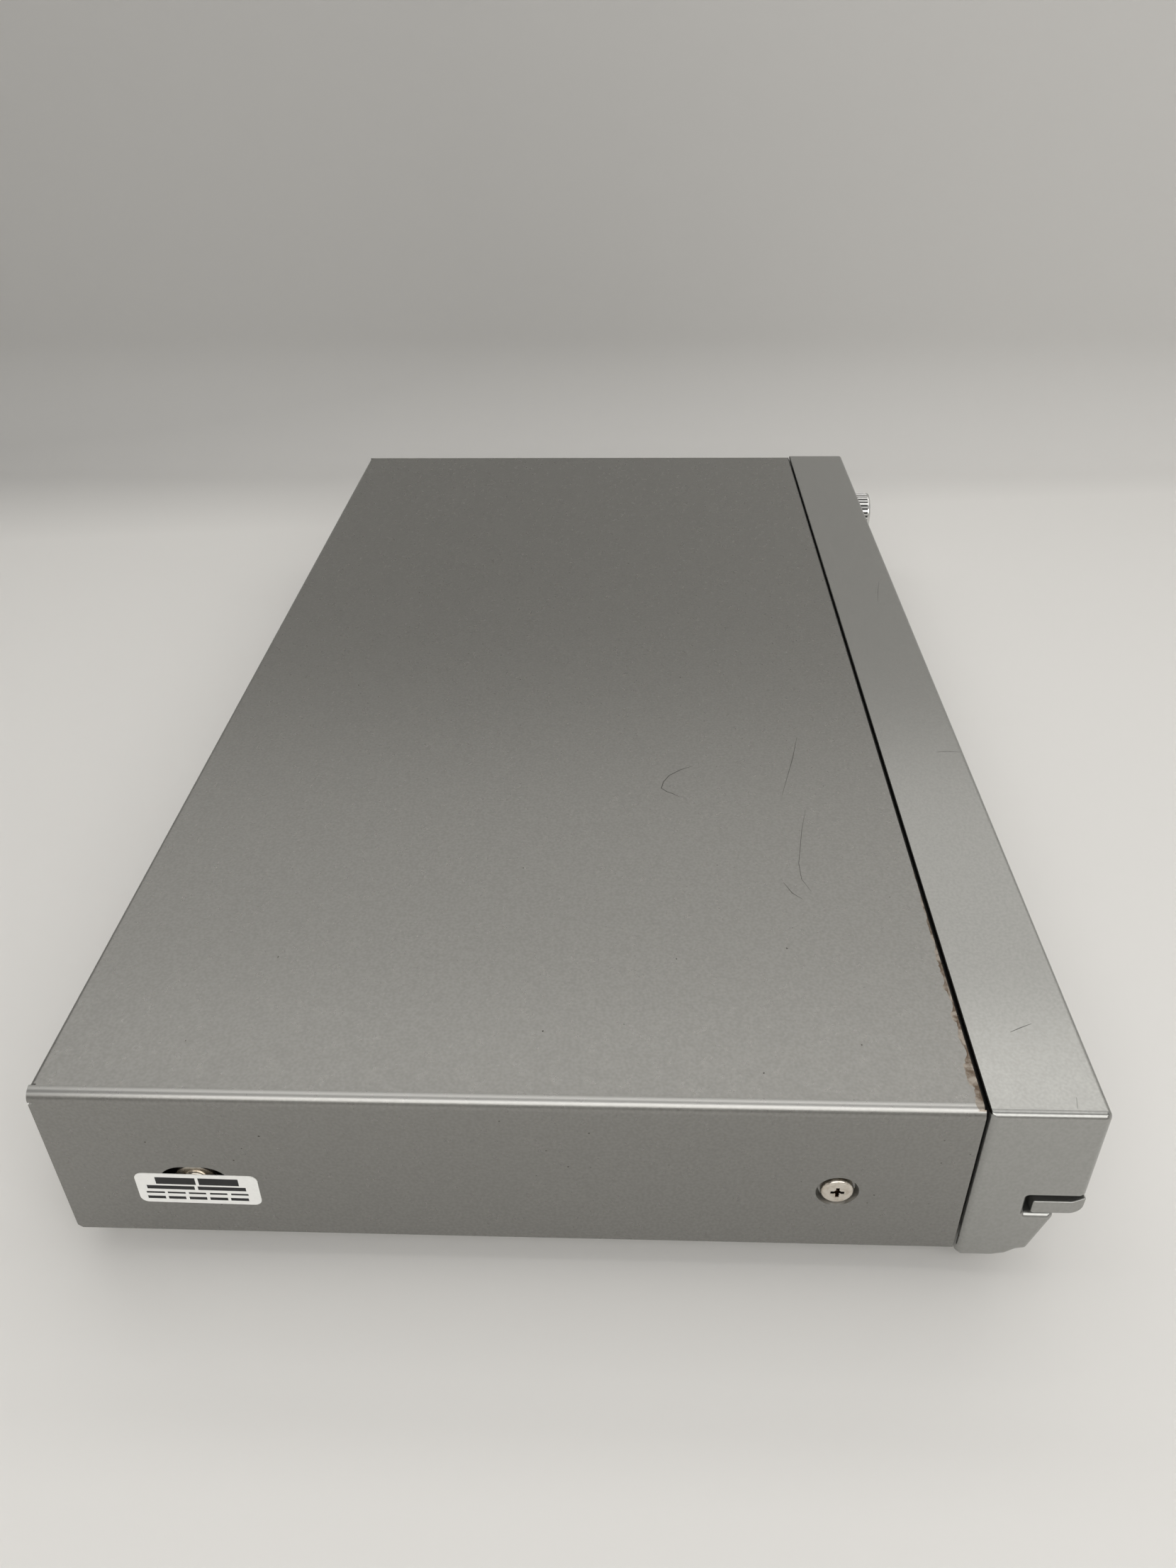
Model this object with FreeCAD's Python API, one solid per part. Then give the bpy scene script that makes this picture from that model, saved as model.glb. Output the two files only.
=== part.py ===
"""Slim digital video recorder: sheet-metal case, moulded front with a drop-down door, jog dial, disc loader,
hard disk, power supply, main board and rear connectors. One STEP file per sub-part goes to parts/.

Working frame, in millimetres: X to the right as seen from the front, Y from front to back with 0 at the seam
between the front moulding and the cover, Z up with 0 at the cover's lower edge. place() moves every shape to
the part's own frame, whose origin is the middle of its bounding box at the level of the feet.
"""
import FreeCAD
import Part
import math
import os

Vector = FreeCAD.Vector

# ---------------------------------------------------------------- driving dimensions
BODY_W = 430.0          # over the cover's two sides
COVER_D = 218.4         # seam to the cover's rear flange
COVER_H = 49.5          # the cover's lower edge to its top
FASCIA_D = 27.4         # seam to the front face
FOOT_H = 9.5            # floor to the cover's lower edge
SHEET = 0.8             # cover sheet
CHASSIS_T = 1.0         # chassis and rear panel sheet
SEAM_Y = -0.45          # rear edge of the front moulding; the cover starts at +COVER_Y
COVER_Y = 0.15
DISH_D = 1.5            # depth of the pressed dishes that the cover screws sit in
PANEL_Y = 217.6         # outer face of the rear panel
BEND_R = 2.8            # outside bend of the cover

FASCIA_TOP = 49.6
FASCIA_LOW = -2.5       # the front moulding hangs below the cover
WALL = 2.2              # moulding wall
NOTCH_TOP = 20.6        # groove that the door's lip lies in
NOTCH_LOW = 14.2
NOTCH_BACK = -14.1
DOOR_OPENING = 199.8    # half width of the bay between the two cheeks

HINGE_Y, HINGE_Z = -16.3, 2.7      # the door turns about this line
LIP_LOW, LIP_TOP, LIP_BACK = 15.1, 19.3, -15.5

FASCIA_X = 215.8        # half width of the front moulding, a little proud of the cover
BAY_FLOOR, PANEL_IN = 0.6, -8.0    # floor of the bay behind the door and the face of the socket panel in it

KNOB_X, KNOB_Z, KNOB_R, KNOB_LEN = 176.0, 34.0, 9.7, 9.0
BOARD_Y = -14.0         # front face of the boards behind the front moulding
JACK_REACH = 9.8       # the rear sockets stand this far out of the cover's rear flange
SIDE_SCREW_FRONT = (30.4, 20.5)    # (y, z) of the two cover screws on each side
SIDE_SCREW_REAR = (184.6, 18.0)
SCREW_HEAD_R = 3.9
WASHER_R = 5.6          # captive washer of the rear side screws
POCKET = (9.0, 6.5)     # half length and half height of the oval pressing round each of them

TRAY_X = -79.0          # centre line of the disc loader
DISC_Y = 44.0           # disc centre with the tray closed
DISC_R = 60.0
TRAY_W, TRAY_BACK = 136.0, 150.0
TRAY_Z, TRAY_T = 28.0, 5.0         # underside and thickness of the tray
TRAY_FRONT_W, TRAY_FRONT_LOW, TRAY_FRONT_TOP = 140.0, 24.0, 43.0
PINION_TEETH = 16       # module 1, meshes with the rack under the tray
PINION_Y = 10.0
WHEEL_TEETH, MOTOR_TEETH, WHEEL_MODULE = 32, 10, 0.8
FRAME_HALF, FRAME_Y0, FRAME_Y1 = 73.0, 6.0, 158.0
SLED_Y = 70.0           # sled at its innermost position

HDD_X, HDD_Y, HDD_Z = 12.0, 10.0, 8.0
HDD_W, HDD_L, HDD_H = 101.6, 147.0, 26.1

HALF_W = BODY_W / 2
RIM = HALF_W - SHEET - DISH_D      # outside of the chassis, where the dishes rest on it
FRONT_REACH = FASCIA_D + KNOB_LEN
Y_SHIFT = -(COVER_D + JACK_REACH - FRONT_REACH) / 2
PARTS = {}


# ---------------------------------------------------------------- helpers
def box(x0, x1, y0, y1, z0, z1):
    """Block between two corners."""
    return Part.makeBox(x1 - x0, y1 - y0, z1 - z0, Vector(x0, y0, z0))


AXES = {"x": Vector(1, 0, 0), "y": Vector(0, 1, 0), "z": Vector(0, 0, 1)}


def rod(x, y, z, r, length, axis="z"):
    """Cylinder that starts at a point and runs along an axis; a negative length runs backwards."""
    direction = AXES[axis] * (1 if length > 0 else -1)
    return Part.makeCylinder(r, abs(length), Vector(x, y, z), direction)


def cone(x, y, z, r0, r1, length, axis="z"):
    """Cone frustum from radius r0 at a point to r1 at the far end."""
    direction = AXES[axis] * (1 if length > 0 else -1)
    return Part.makeCone(r0, r1, abs(length), Vector(x, y, z), direction)


def tube(x, y, z, r_out, r_in, length, axis="z"):
    return rod(x, y, z, r_out, length, axis).cut(rod(x, y, z, r_in, length, axis))


def corner_edges(points, radii):
    """Edges of a closed outline whose corners are rounded to the given radii."""
    count = len(points)
    ends, arcs = [], []
    for i, corner in enumerate(points):
        r = radii[i] if isinstance(radii, (list, tuple)) else radii
        if r <= 0:
            ends.append((corner, corner))
            arcs.append(None)
            continue
        to_last = (points[i - 1] - corner).normalize()
        to_next = (points[(i + 1) % count] - corner).normalize()
        half = to_last.getAngle(to_next) / 2
        start = corner + to_last * (r / math.tan(half))
        end = corner + to_next * (r / math.tan(half))
        centre = corner + (to_last + to_next).normalize() * (r / math.sin(half))
        middle = centre + (corner - centre).normalize() * r
        ends.append((start, end))
        arcs.append(Part.Arc(start, middle, end).toShape())
    edges = []
    for i in range(count):
        if arcs[i]:
            edges.append(arcs[i])
        start, end = ends[i][1], ends[(i + 1) % count][0]
        if start.distanceToPoint(end) > 1e-6:
            edges.append(Part.LineSegment(start, end).toShape())
    return edges


def slab(points, axis, low, high, radii=0):
    """Outline extruded along an axis. The outline's two numbers are the other two coordinates,
    in X, Y, Z order."""
    def lift(p):
        if axis == "x":
            return Vector(low, p[0], p[1])
        if axis == "y":
            return Vector(p[0], low, p[1])
        return Vector(p[0], p[1], low)
    wire = Part.Wire(corner_edges([lift(p) for p in points], radii))
    return Part.Face(wire).extrude(AXES[axis] * (high - low))


def rounded(x0, x1, y0, y1, z0, z1, r, axis="z"):
    """Block with the four edges along one axis rounded."""
    if axis == "x":
        return slab([(y0, z0), (y1, z0), (y1, z1), (y0, z1)], "x", x0, x1, r)
    if axis == "y":
        return slab([(x0, z0), (x1, z0), (x1, z1), (x0, z1)], "y", y0, y1, r)
    return slab([(x0, y0), (x1, y0), (x1, y1), (x0, y1)], "z", z0, z1, r)


def fuse(shapes):
    whole = shapes[0]
    if len(shapes) > 1:
        whole = whole.fuse(shapes[1:])
    return whole.removeSplitter()


def both_sides(shape):
    """The shape and its mirror image across the middle plane."""
    return [shape, shape.mirror(Vector(0, 0, 0), Vector(1, 0, 0))]


def polar(r, angle):
    return (r * math.cos(angle), r * math.sin(angle))


def soften(shape, r, test):
    """Rounds the edges whose middle point passes the test."""
    edges = [e for e in shape.Edges if test(e.CenterOfMass, e)]
    return shape.makeFillet(r, edges) if edges else shape


def add(name, *solids):
    """Keeps a node: every solid in it is one physical piece."""
    PARTS[name] = list(solids)


def place(shape):
    moved = shape.copy()
    moved.translate(Vector(0, Y_SHIFT, FOOT_H))
    return moved


def cross_recess(x, y, z, depth, reach, axis, sign):
    """Tapered cross for a driver, cut along an axis from the head's face."""
    blades = []
    for quarter in range(2):
        wide, thin = (reach, reach * 0.26) if quarter else (reach * 0.26, reach)
        if axis == "x":
            blades.append(box(min(x, x - sign * depth), max(x, x - sign * depth), y - wide, y + wide,
                              z - thin, z + thin))
        elif axis == "y":
            blades.append(box(x - wide, x + wide, min(y, y - sign * depth), max(y, y - sign * depth),
                              z - thin, z + thin))
        else:
            blades.append(box(x - wide, x + wide, y - thin, y + thin, min(z, z - sign * depth),
                              max(z, z - sign * depth)))
    centre = cone(x, y, z, reach * 0.55, reach * 0.15, -sign * depth * 1.3, axis)
    return fuse(blades + [centre])


# ---------------------------------------------------------------- case
REAR_PORTS = {
    "bnc": [(-196 + 18 * i, z) for i in range(4) for z in (13.4, 29)] + [(-118, 13.4), (-118, 29)],
    "rca": [(-96, 13), (-96, 28), (-81, 13), (-81, 28)],
}
VGA_X, LAN_X, REAR_USB_X, INLET_X, FAN_X, FAN_Z = -50.0, -18.0, 6.0, 170.0, 96.0, 24.5
FEET = [(x, y) for x in (-185, 185) for y in (26, 196)]
REAR_SCREWS = [(-190, 42.4), (-4, 42.4), (190, 42.4)]
BOARD_POSTS = [(-202, 30), (-202, 120), (-164, 30), (-202, 168), (-202, 208), (-20, 168), (66, 168),
               (66, 208), (128, 72), (202, 72), (128, 206), (202, 206)]


def vent_slots(x0, y0, columns, rows):
    """Rows of round-ended slots in the chassis floor."""
    slots = []
    for i in range(columns):
        for j in range(rows):
            x, y = x0 + 7 * i, y0 + 26 * j
            slots.append(rounded(x - 1.5, x + 1.5, y, y + 18, -1, 2, 1.49))
    return slots


def base_chassis():
    t = CHASSIS_T
    section = [(-RIM, 0), (RIM, 0), (RIM, 32), (RIM - t, 32), (RIM - t, t), (-RIM + t, t), (-RIM + t, 32),
               (-RIM, 32)]
    radii = [1.4, 1.4, 0.3, 0.3, 0.4, 0.4, 0.3, 0.3]
    shell = slab(section, "y", 4.0, PANEL_Y - t, radii)
    floor = box(-RIM, RIM, 1.2, PANEL_Y + t, 0, t)
    front = rounded(-RIM, RIM, 1.2, 1.2 + t, 0, 20, 0, "y")
    rear = box(-RIM, RIM, PANEL_Y, PANEL_Y + t, 0, 8.0)
    posts = [rod(x, y, 0.5, 3.0, 4.5) for x, y in BOARD_POSTS]
    body = fuse([shell, floor, front, rear] + posts)
    body = soften(body, 1.2, lambda c, e: abs(c.z) < 0.01 and e.Length > 100
                  and (c.y > PANEL_Y + 0.9 or c.y < 1.25))
    holes = [rod(x, y, -1, 1.6, 7) for x, y in BOARD_POSTS + FEET]
    holes += [rod(-RIM - 1, y, z, 1.6, 3, "x") for y, z in (SIDE_SCREW_FRONT, SIDE_SCREW_REAR)]
    holes += [rod(RIM - 2, y, z, 1.6, 3, "x") for y, z in (SIDE_SCREW_FRONT, SIDE_SCREW_REAR)]
    slots = vent_slots(24, 24, 12, 5) + vent_slots(134, 86, 9, 3) + vent_slots(-140, 40, 14, 4)
    add("base_chassis", body.cut(holes + slots))


def dish(y, z, r_top, r_low, grow):
    """Cone of one pressed dish on the +X side; grow is the sheet's thickness for the inner side of
    the pressing."""
    outer = HALF_W - grow
    extra = grow * 0.7
    return cone(outer, y, z, r_top + extra, r_low + extra, -DISH_D, "x")


def pocket(y, z, grow):
    """Oval pressing on the +X side with the same depth as a dish."""
    half_y, half_z = POCKET[0] + grow * 0.9, POCKET[1] + grow * 0.9
    outer = HALF_W - grow
    return rounded(outer - DISH_D, outer, y - half_y, y + half_y, z - half_z, z + half_z, half_z - 0.01, "x")


def press(shell, shape):
    """Presses a recess into both sides of the cover; shape(grow) gives its outer form and its
    sheet-thick inner one."""
    return shell.fuse(both_sides(shape(SHEET))).cut(both_sides(shape(0)))


def top_cover():
    w, h, t = HALF_W, COVER_H, SHEET
    outer = slab([(-w, 0), (w, 0), (w, h), (-w, h)], "y", COVER_Y, 218.2, [0, 0, BEND_R, BEND_R])
    inner = slab([(-w + t, -1), (w - t, -1), (w - t, h - t), (-w + t, h - t)], "y", -1, 219,
                 [0, 0, BEND_R - t, BEND_R - t])
    edge = w - 3.2
    corner_slits = both_sides(box(w - 1.5, w + 1, 217.2, 219, 45.8, 46.6))
    corner_slits += both_sides(box(edge, edge + 0.4, 216.6, 219, 48, 51))
    low_corners = both_sides(slab([(217.0, -0.1), (218.3, -0.1), (218.3, 1.2)], "x", w - 1.5, w + 1))
    shell = outer.cut(inner).cut(corner_slits + low_corners + [box(-edge, edge, 216.6, 219, 45, 51)])
    fold = [(216.6, h), (COVER_D, h), (COVER_D, 38.5), (PANEL_Y, 38.5), (PANEL_Y, h - t), (216.6, h - t)]
    shell = fuse([shell, slab(fold, "x", -edge, edge, [0, 1.4, 0, 0, 0.5, 0])])
    shell = press(shell, lambda grow: dish(*SIDE_SCREW_FRONT, 5.1, 4.4, grow))
    shell = press(shell, lambda grow: pocket(*SIDE_SCREW_REAR, grow))
    for y, z in (SIDE_SCREW_FRONT, SIDE_SCREW_REAR):
        shell = shell.cut(both_sides(rod(RIM - 1, y, z, 1.9, 4, "x")))
    shell = shell.cut([rod(x, 216, z, 1.9, 4, "y") for x, z in REAR_SCREWS])
    add("top_cover", shell.removeSplitter())


def fan_slots():
    """Openings of the fan grille, cut to a circle."""
    bars = []
    for i in range(-4, 5):
        half = math.sqrt(18.2 ** 2 - (4.2 * i) ** 2)
        z = FAN_Z + 4.2 * i
        for x0, x1 in ((-half, -0.9), (0.9, half)):
            bars.append(box(FAN_X + x0, FAN_X + x1, 215, 219, z - 1.3, z + 1.3))
    return bars


def rear_panel():
    plate = box(-RIM, RIM, PANEL_Y - 1.0, PANEL_Y, 1.0, 48.0)
    cuts = [rod(x, 215, z, 4.8, 4, "y") for x, z in REAR_PORTS["bnc"]]
    cuts += [rod(x, 215, z, 5.05, 4, "y") for x, z in REAR_PORTS["rca"]]
    cuts.append(rounded(VGA_X - 15.6, VGA_X + 15.6, 215, 219, 9.4, 21.6, 1.0, "y"))
    cuts.append(box(LAN_X - 8.1, LAN_X + 8.1, 215, 219, 8.0, 21.7))
    cuts.append(box(REAR_USB_X - 6.6, REAR_USB_X + 6.6, 215, 219, 8.2, 14.2))
    cuts.append(rounded(INLET_X - 13.9, INLET_X + 13.9, 215, 219, 10.4, 30.8, 2.0, "y"))
    cuts += [rod(x, 215, z, 1.6, 4, "y") for x, z in REAR_SCREWS]
    cuts += [rod(FAN_X + sx * 16, 215, FAN_Z + sz * 16, 1.8, 4, "y") for sx in (-1, 1) for sz in (-1, 1)]
    cuts += fan_slots()
    for i in range(9):
        cuts.append(rounded(24 + 5 * i, 26.6 + 5 * i, 215, 219, 14, 34, 1.2, "y"))
    add("rear_panel", plate.cut(cuts))


def screw(head_r, head_t, shank_r, length, washer_r=0.0):
    """Pan-head screw along +X with the head's top at X = 0 and the shank running to -X."""
    head = soften(rod(0, 0, 0, head_r, -head_t, "x"), 0.75, lambda c, e: c.x > -0.01 and e.Length > 15)
    parts = [head, rod(-head_t, 0, 0, shank_r, -length, "x")]
    if washer_r:
        parts.append(rod(-head_t, 0, 0, washer_r, 0.6, "x"))
    return fuse(parts).cut(cross_recess(0, 0, 0, head_t * 0.6, head_r * 0.42, "x", 1))


def cover_screws():
    solids = []
    for (y, z), proud, washer_r in ((SIDE_SCREW_FRONT, 0.3, 0), (SIDE_SCREW_REAR, -0.05, WASHER_R)):
        one = screw(SCREW_HEAD_R, DISH_D + proud, 1.5, 7.0, washer_r)
        one.translate(Vector(HALF_W + proud, y, z))
        solids += both_sides(one)
    for x, z in REAR_SCREWS:
        one = screw(3.5, 1.8, 1.5, 6.0)
        one.rotate(Vector(0, 0, 0), Vector(0, 0, 1), 90)
        one.translate(Vector(x, COVER_D + 1.8, z))
        solids.append(one)
    add("cover_screws", *solids)


def feet():
    pads, screws = [], []
    for x, y in FEET:
        body = cone(x, y, -FOOT_H, 8.6, 9.6, FOOT_H)
        body = body.cut([rod(x, y, -FOOT_H - 1, 4.2, 7.5), rod(x, y, -FOOT_H, 1.7, 20)])
        pads.append(soften(body, 1.0, lambda c, e: c.z < -FOOT_H + 0.01 and e.Length > 40))
        head = rod(x, y, -4.6, 3.5, 1.6)
        one = fuse([head, rod(x, y, -3.2, 1.5, 6.5)])
        screws.append(one.cut(cross_recess(x, y, -4.6, 1.2, 1.9, "z", -1)))
    add("feet", *pads)
    add("foot_screws", *screws)


def seal_sticker():
    label = rounded(-15.0, 15.0, -5.4, 5.4, 0, 0.2, 2.0)
    label.rotate(Vector(0, 0, 0), Vector(1, 0, 0), 90)
    label.rotate(Vector(0, 0, 0), Vector(0, 0, 1), 90)
    label.rotate(Vector(0, 0, 0), Vector(1, 0, 0), 0.9)
    label.translate(Vector(-HALF_W - 0.2, 184.3, 16.5))
    add("seal_sticker", label)


# ---------------------------------------------------------------- front moulding and door
KEYS = {
    "play_button": (122, 40.2, 13, 6), "pause_button": (138, 40.2, 13, 6), "stop_button": (154, 40.2, 13, 6),
    "rewind_button": (122, 31.0, 13, 6), "forward_button": (138, 31.0, 13, 6),
    "record_button": (154, 31.0, 13, 6),
    "eject_button": (-163, 36.0, 13, 6),
}
POWER_X, POWER_Z, POWER_R = -188.0, 36.0, 6.0
WINDOW = (4.0, 106.0, 26.5, 44.0)
AV_JACKS, USB_X, FRONT_SOCKET_Z = (96.0, 111.0, 126.0), 152.0, 10.6


def fascia_profile():
    """Side outline of the front moulding: upright face, groove for the door's lip,
    sloping cheek and skirt."""
    y0 = -FASCIA_D
    points = [(SEAM_Y, FASCIA_TOP), (y0, FASCIA_TOP), (y0, NOTCH_TOP), (NOTCH_BACK, NOTCH_TOP),
              (NOTCH_BACK, NOTCH_LOW), (-21.8, NOTCH_LOW), (-17.5, 0.6), (-15.1, 0.1), (-12.7, -1.7),
              (-9.3, FASCIA_LOW), (-1.7, FASCIA_LOW), (SEAM_Y, -1.2)]
    radii = [0.3, 1.3, 1.3, 0.4, 0.4, 0.9, 0.8, 1.2, 1.6, 2.5, 0.3, 0.2]
    return points, radii


def fascia_hollow():
    """Space inside the moulding, open to the back."""
    w = FASCIA_X - WALL
    upper = box(-w, w, -FASCIA_D + WALL, 1, NOTCH_TOP + WALL, FASCIA_TOP - WALL)
    lower = box(-w, w, NOTCH_BACK + WALL, 1, FASCIA_LOW + WALL, NOTCH_TOP + WALL + 1)
    cheeks = both_sides(box(DOOR_OPENING + WALL, w, -17.0, NOTCH_BACK + WALL + 1, 2.6, 11.6))
    return [upper, lower] + cheeks


def front_bay():
    """Space behind the door, down to the socket panel."""
    w = DOOR_OPENING
    return [box(-w, w, -30, PANEL_IN, BAY_FLOOR, NOTCH_TOP),
            box(-w, w, -30, HINGE_Y, -4, NOTCH_LOW),
            rod(-w, HINGE_Y, HINGE_Z, 2.1, 2 * w, "x")]


def bay_walls():
    w, back = DOOR_OPENING, PANEL_IN + 2.0
    front = NOTCH_BACK + WALL / 2
    ceiling = box(-w - WALL, w + WALL, front, back, NOTCH_TOP, NOTCH_TOP + WALL)
    floor = box(-w - WALL, w + WALL, front, back, FASCIA_LOW + 1.0, BAY_FLOOR)
    ends = both_sides(box(w, w + WALL, front, back, BAY_FLOOR - 0.5, NOTCH_TOP + 0.5))
    return [ceiling, floor] + ends


def front_fascia():
    points, radii = fascia_profile()
    body = slab(points, "x", -FASCIA_X, FASCIA_X, radii)
    y0 = -FASCIA_D

    def rim_edge(c, e):
        return abs(abs(c.x) - FASCIA_X) < 0.01 and c.z > 22.5 and (c.y < y0 + 0.6 or c.z > FASCIA_TOP - 0.6)
    body = soften(body, 1.7, rim_edge)
    body = body.cut(fascia_hollow() + [box(-DOOR_OPENING, DOOR_OPENING, NOTCH_BACK, 1, BAY_FLOOR, NOTCH_TOP)])
    body = body.fuse(bay_walls()).cut(front_bay())
    half = TRAY_FRONT_W / 2 + 0.4
    cuts = [rounded(TRAY_X - half, TRAY_X + half, -30, -20, TRAY_FRONT_LOW - 0.4, TRAY_FRONT_TOP + 0.4, 0.9,
                    "y")]
    x0, x1, z0, z1 = WINDOW
    cuts.append(rounded(x0, x1, y0 - 1, y0 + 1.2, z0, z1, 1.0, "y"))
    cuts.append(box(x0 + 2, x1 - 2, y0, -20, z0 + 2, z1 - 2))
    for x, z, w, h in KEYS.values():
        cuts.append(rounded(x - w / 2 - 0.3, x + w / 2 + 0.3, -30, -20, z - h / 2 - 0.3, z + h / 2 + 0.3,
                            0.9, "y"))
    cuts.append(rod(POWER_X, -30, POWER_Z, POWER_R + 0.3, 10, "y"))
    cuts.append(rod(KNOB_X, -30, KNOB_Z, 4.2, 10, "y"))
    cuts.append(rod(KNOB_X, y0 - 1, KNOB_Z, KNOB_R + 1.2, 1.8, "y"))
    for side in both_sides(rod(DOOR_OPENING - 1, HINGE_Y, HINGE_Z, 0.95, 8, "x")):
        cuts.append(side)
    add("front_fascia", body.cut(cuts).removeSplitter())


def front_door():
    y0 = -FASCIA_D
    lip_points = [(LIP_BACK, LIP_LOW), (LIP_BACK, LIP_TOP), (-24.6, LIP_TOP), (-27.1, 20.8), (y0, 20.8),
                  (y0, LIP_LOW)]
    lip = slab(lip_points, "x", -FASCIA_X, FASCIA_X, [0.7, 0.4, 1.6, 0.1, 0.15, 3.2])
    lip = soften(lip, 0.35, lambda c, e: abs(abs(c.x) - FASCIA_X) < 0.01 and c.y > -25 and c.z > 18)
    w = DOOR_OPENING - 0.4
    leaf = slab([(-22.05, 15.3), (-18.0, 2.2), (HINGE_Y, HINGE_Z), (-16.1, 3.2), (-19.9, 15.3)], "x", -w, w)
    barrel = rod(-w, HINGE_Y, HINGE_Z, 1.7, 2 * w, "x")
    ribs = [slab([(-19.9, 15.2), (-16.2, 15.2), (-18.6, 10.6)], "x", x - 0.8, x + 0.8)
            for x in (-150, -50, 50, 150)]
    body = fuse([lip, leaf, barrel] + ribs)
    bores = both_sides(rod(w - 6, HINGE_Y, HINGE_Z, 0.9, 8, "x"))
    add("front_door", body.cut(bores))
    add("door_pins", *both_sides(rod(w - 6, HINGE_Y, HINGE_Z, 0.9, 12, "x")))


def display():
    x0, x1, z0, z1 = WINDOW
    y0 = -FASCIA_D
    add("display_window", rounded(x0, x1, y0, y0 + 1.2, z0, z1, 1.0, "y"))
    glass = rounded(x0 + 3, x1 - 3, -21.5, -16.0, z0 + 1, z1 - 1, 0.6, "y")
    legs = [box(x0 + 8 + 4 * i, x0 + 8.8 + 4 * i, -16.0, BOARD_Y, z0 + 1, z0 + 2) for i in range(22)]
    add("display_module", fuse([glass] + legs))
    board = box(1.0, 208.0, BOARD_Y, BOARD_Y + 1.6, 23.2, 46.8)
    add("display_board", board.cut(rod(KNOB_X, BOARD_Y - 1, KNOB_Z, 2.0, 4, "y")))
    add("left_key_board", box(-206.0, -153.0, BOARD_Y, BOARD_Y + 1.6, 23.2, 46.8))


def key_cap(x, z, w, h):
    y0 = -FASCIA_D
    cap = rounded(x - w / 2, x + w / 2, y0 - 0.8, y0 + 3.4, z - h / 2, z + h / 2, 0.9, "y")
    cap = soften(cap, 0.4, lambda c, e: c.y < y0 - 0.79)
    flange = rounded(x - w / 2 - 0.9, x + w / 2 + 0.9, y0 + WALL + 0.05, y0 + WALL + 1.2, z - h / 2 - 0.9,
                     z + h / 2 + 0.9,
                     0.9, "y")
    stem = rod(x, y0 + 3, z, 1.5, 5.0, "y")
    return fuse([cap, flange, stem])


def keys():
    y0 = -FASCIA_D
    for name, (x, z, w, h) in KEYS.items():
        add(name, key_cap(x, z, w, h))
    cap = rod(POWER_X, y0 - 0.8, POWER_Z, POWER_R, 4.2, "y")
    cap = soften(cap, 0.5, lambda c, e: c.y < y0 - 0.79 and e.Length > 20)
    flange = rod(POWER_X, y0 + WALL + 0.05, POWER_Z, POWER_R + 1.0, 1.15, "y")
    add("power_button", fuse([cap, flange, rod(POWER_X, y0 + 3, POWER_Z, 1.5, 5.0, "y")]))
    switches = []
    spots = [(x, z) for x, z, w, h in KEYS.values()] + [(POWER_X, POWER_Z)]
    for x, z in spots:
        body = box(x - 3, x + 3, BOARD_Y - 3.4, BOARD_Y, z - 3, z + 3)
        switches.append(fuse([body, rod(x, BOARD_Y - 4.3, z, 1.6, 1.0, "y")]))
    add("tact_switches", *switches)


def jog_dial():
    y0 = -FASCIA_D
    tip = y0 - KNOB_LEN
    outline = [(0, y0 - 0.2), (KNOB_R - 0.4, y0 - 0.2), (KNOB_R, y0 - 1.0), (KNOB_R, tip + 1.2),
               (0, tip + 1.2)]
    wire = Part.makePolygon([Vector(KNOB_X + r, y, KNOB_Z) for r, y in outline + outline[:1]])
    body = Part.Face(wire).revolve(Vector(KNOB_X, 0, KNOB_Z), Vector(0, 1, 0), 360)
    cap = rod(KNOB_X, tip, KNOB_Z, KNOB_R - 0.1, 1.3, "y")
    cap = soften(cap, 1.1, lambda c, e: c.y < tip + 0.01 and e.Length > 20)
    body = fuse([body, cap])
    grooves = []
    for i in range(34):
        dx, dz = polar(KNOB_R + 0.15, 2 * math.pi * i / 34)
        grooves.append(rod(KNOB_X + dx, y0 - 1.6, KNOB_Z + dz, 0.5, -(KNOB_LEN - 3.0), "y"))
    grooves.append(rod(KNOB_X, y0, KNOB_Z, 3.0, -(KNOB_LEN - 4.0), "y"))
    add("jog_dial", body.cut(grooves))
    add("encoder_shaft", fuse([rod(KNOB_X, y0 - KNOB_LEN + 4.0, KNOB_Z, 3.0, KNOB_LEN + 3.2, "y"),
                               rod(KNOB_X, -20.5, KNOB_Z, 2.0, 4.5, "y")]))
    base = box(KNOB_X - 6.5, KNOB_X + 6.5, BOARD_Y - 6.0, BOARD_Y, KNOB_Z - 6.5, KNOB_Z + 6.5)
    bush = rod(KNOB_X, BOARD_Y - 10.4, KNOB_Z, 3.9, 5.0, "y")
    bore = [rod(KNOB_X, BOARD_Y - 12, KNOB_Z, 3.05, 6.0, "y"),
            rod(KNOB_X, BOARD_Y - 8, KNOB_Z, 2.05, 6.3, "y")]
    add("encoder_body", fuse([base, bush]).cut(bore))


def usb_port(x, z, y_face, depth):
    """Shielded socket with its tongue; y_face is the open end and a positive depth runs to +Y."""
    y_back = y_face + depth
    lo, hi = min(y_face, y_back), max(y_face, y_back)
    sign = 1 if depth > 0 else -1
    shell = box(x - 6.5, x + 6.5, lo, hi, z - 2.85, z + 2.85)
    inner = (y_face - sign, y_back - sign * 2)
    hole = box(x - 6.1, x + 6.1, min(inner), max(inner), z - 2.45, z + 2.45)
    tongue_y = (y_face + sign * 1.2, y_back - sign * 1.9)
    tongue = box(x - 5.6, x + 5.6, min(tongue_y), max(tongue_y), z + 0.2, z + 2.1)
    return shell.cut(hole).fuse(tongue)


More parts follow.
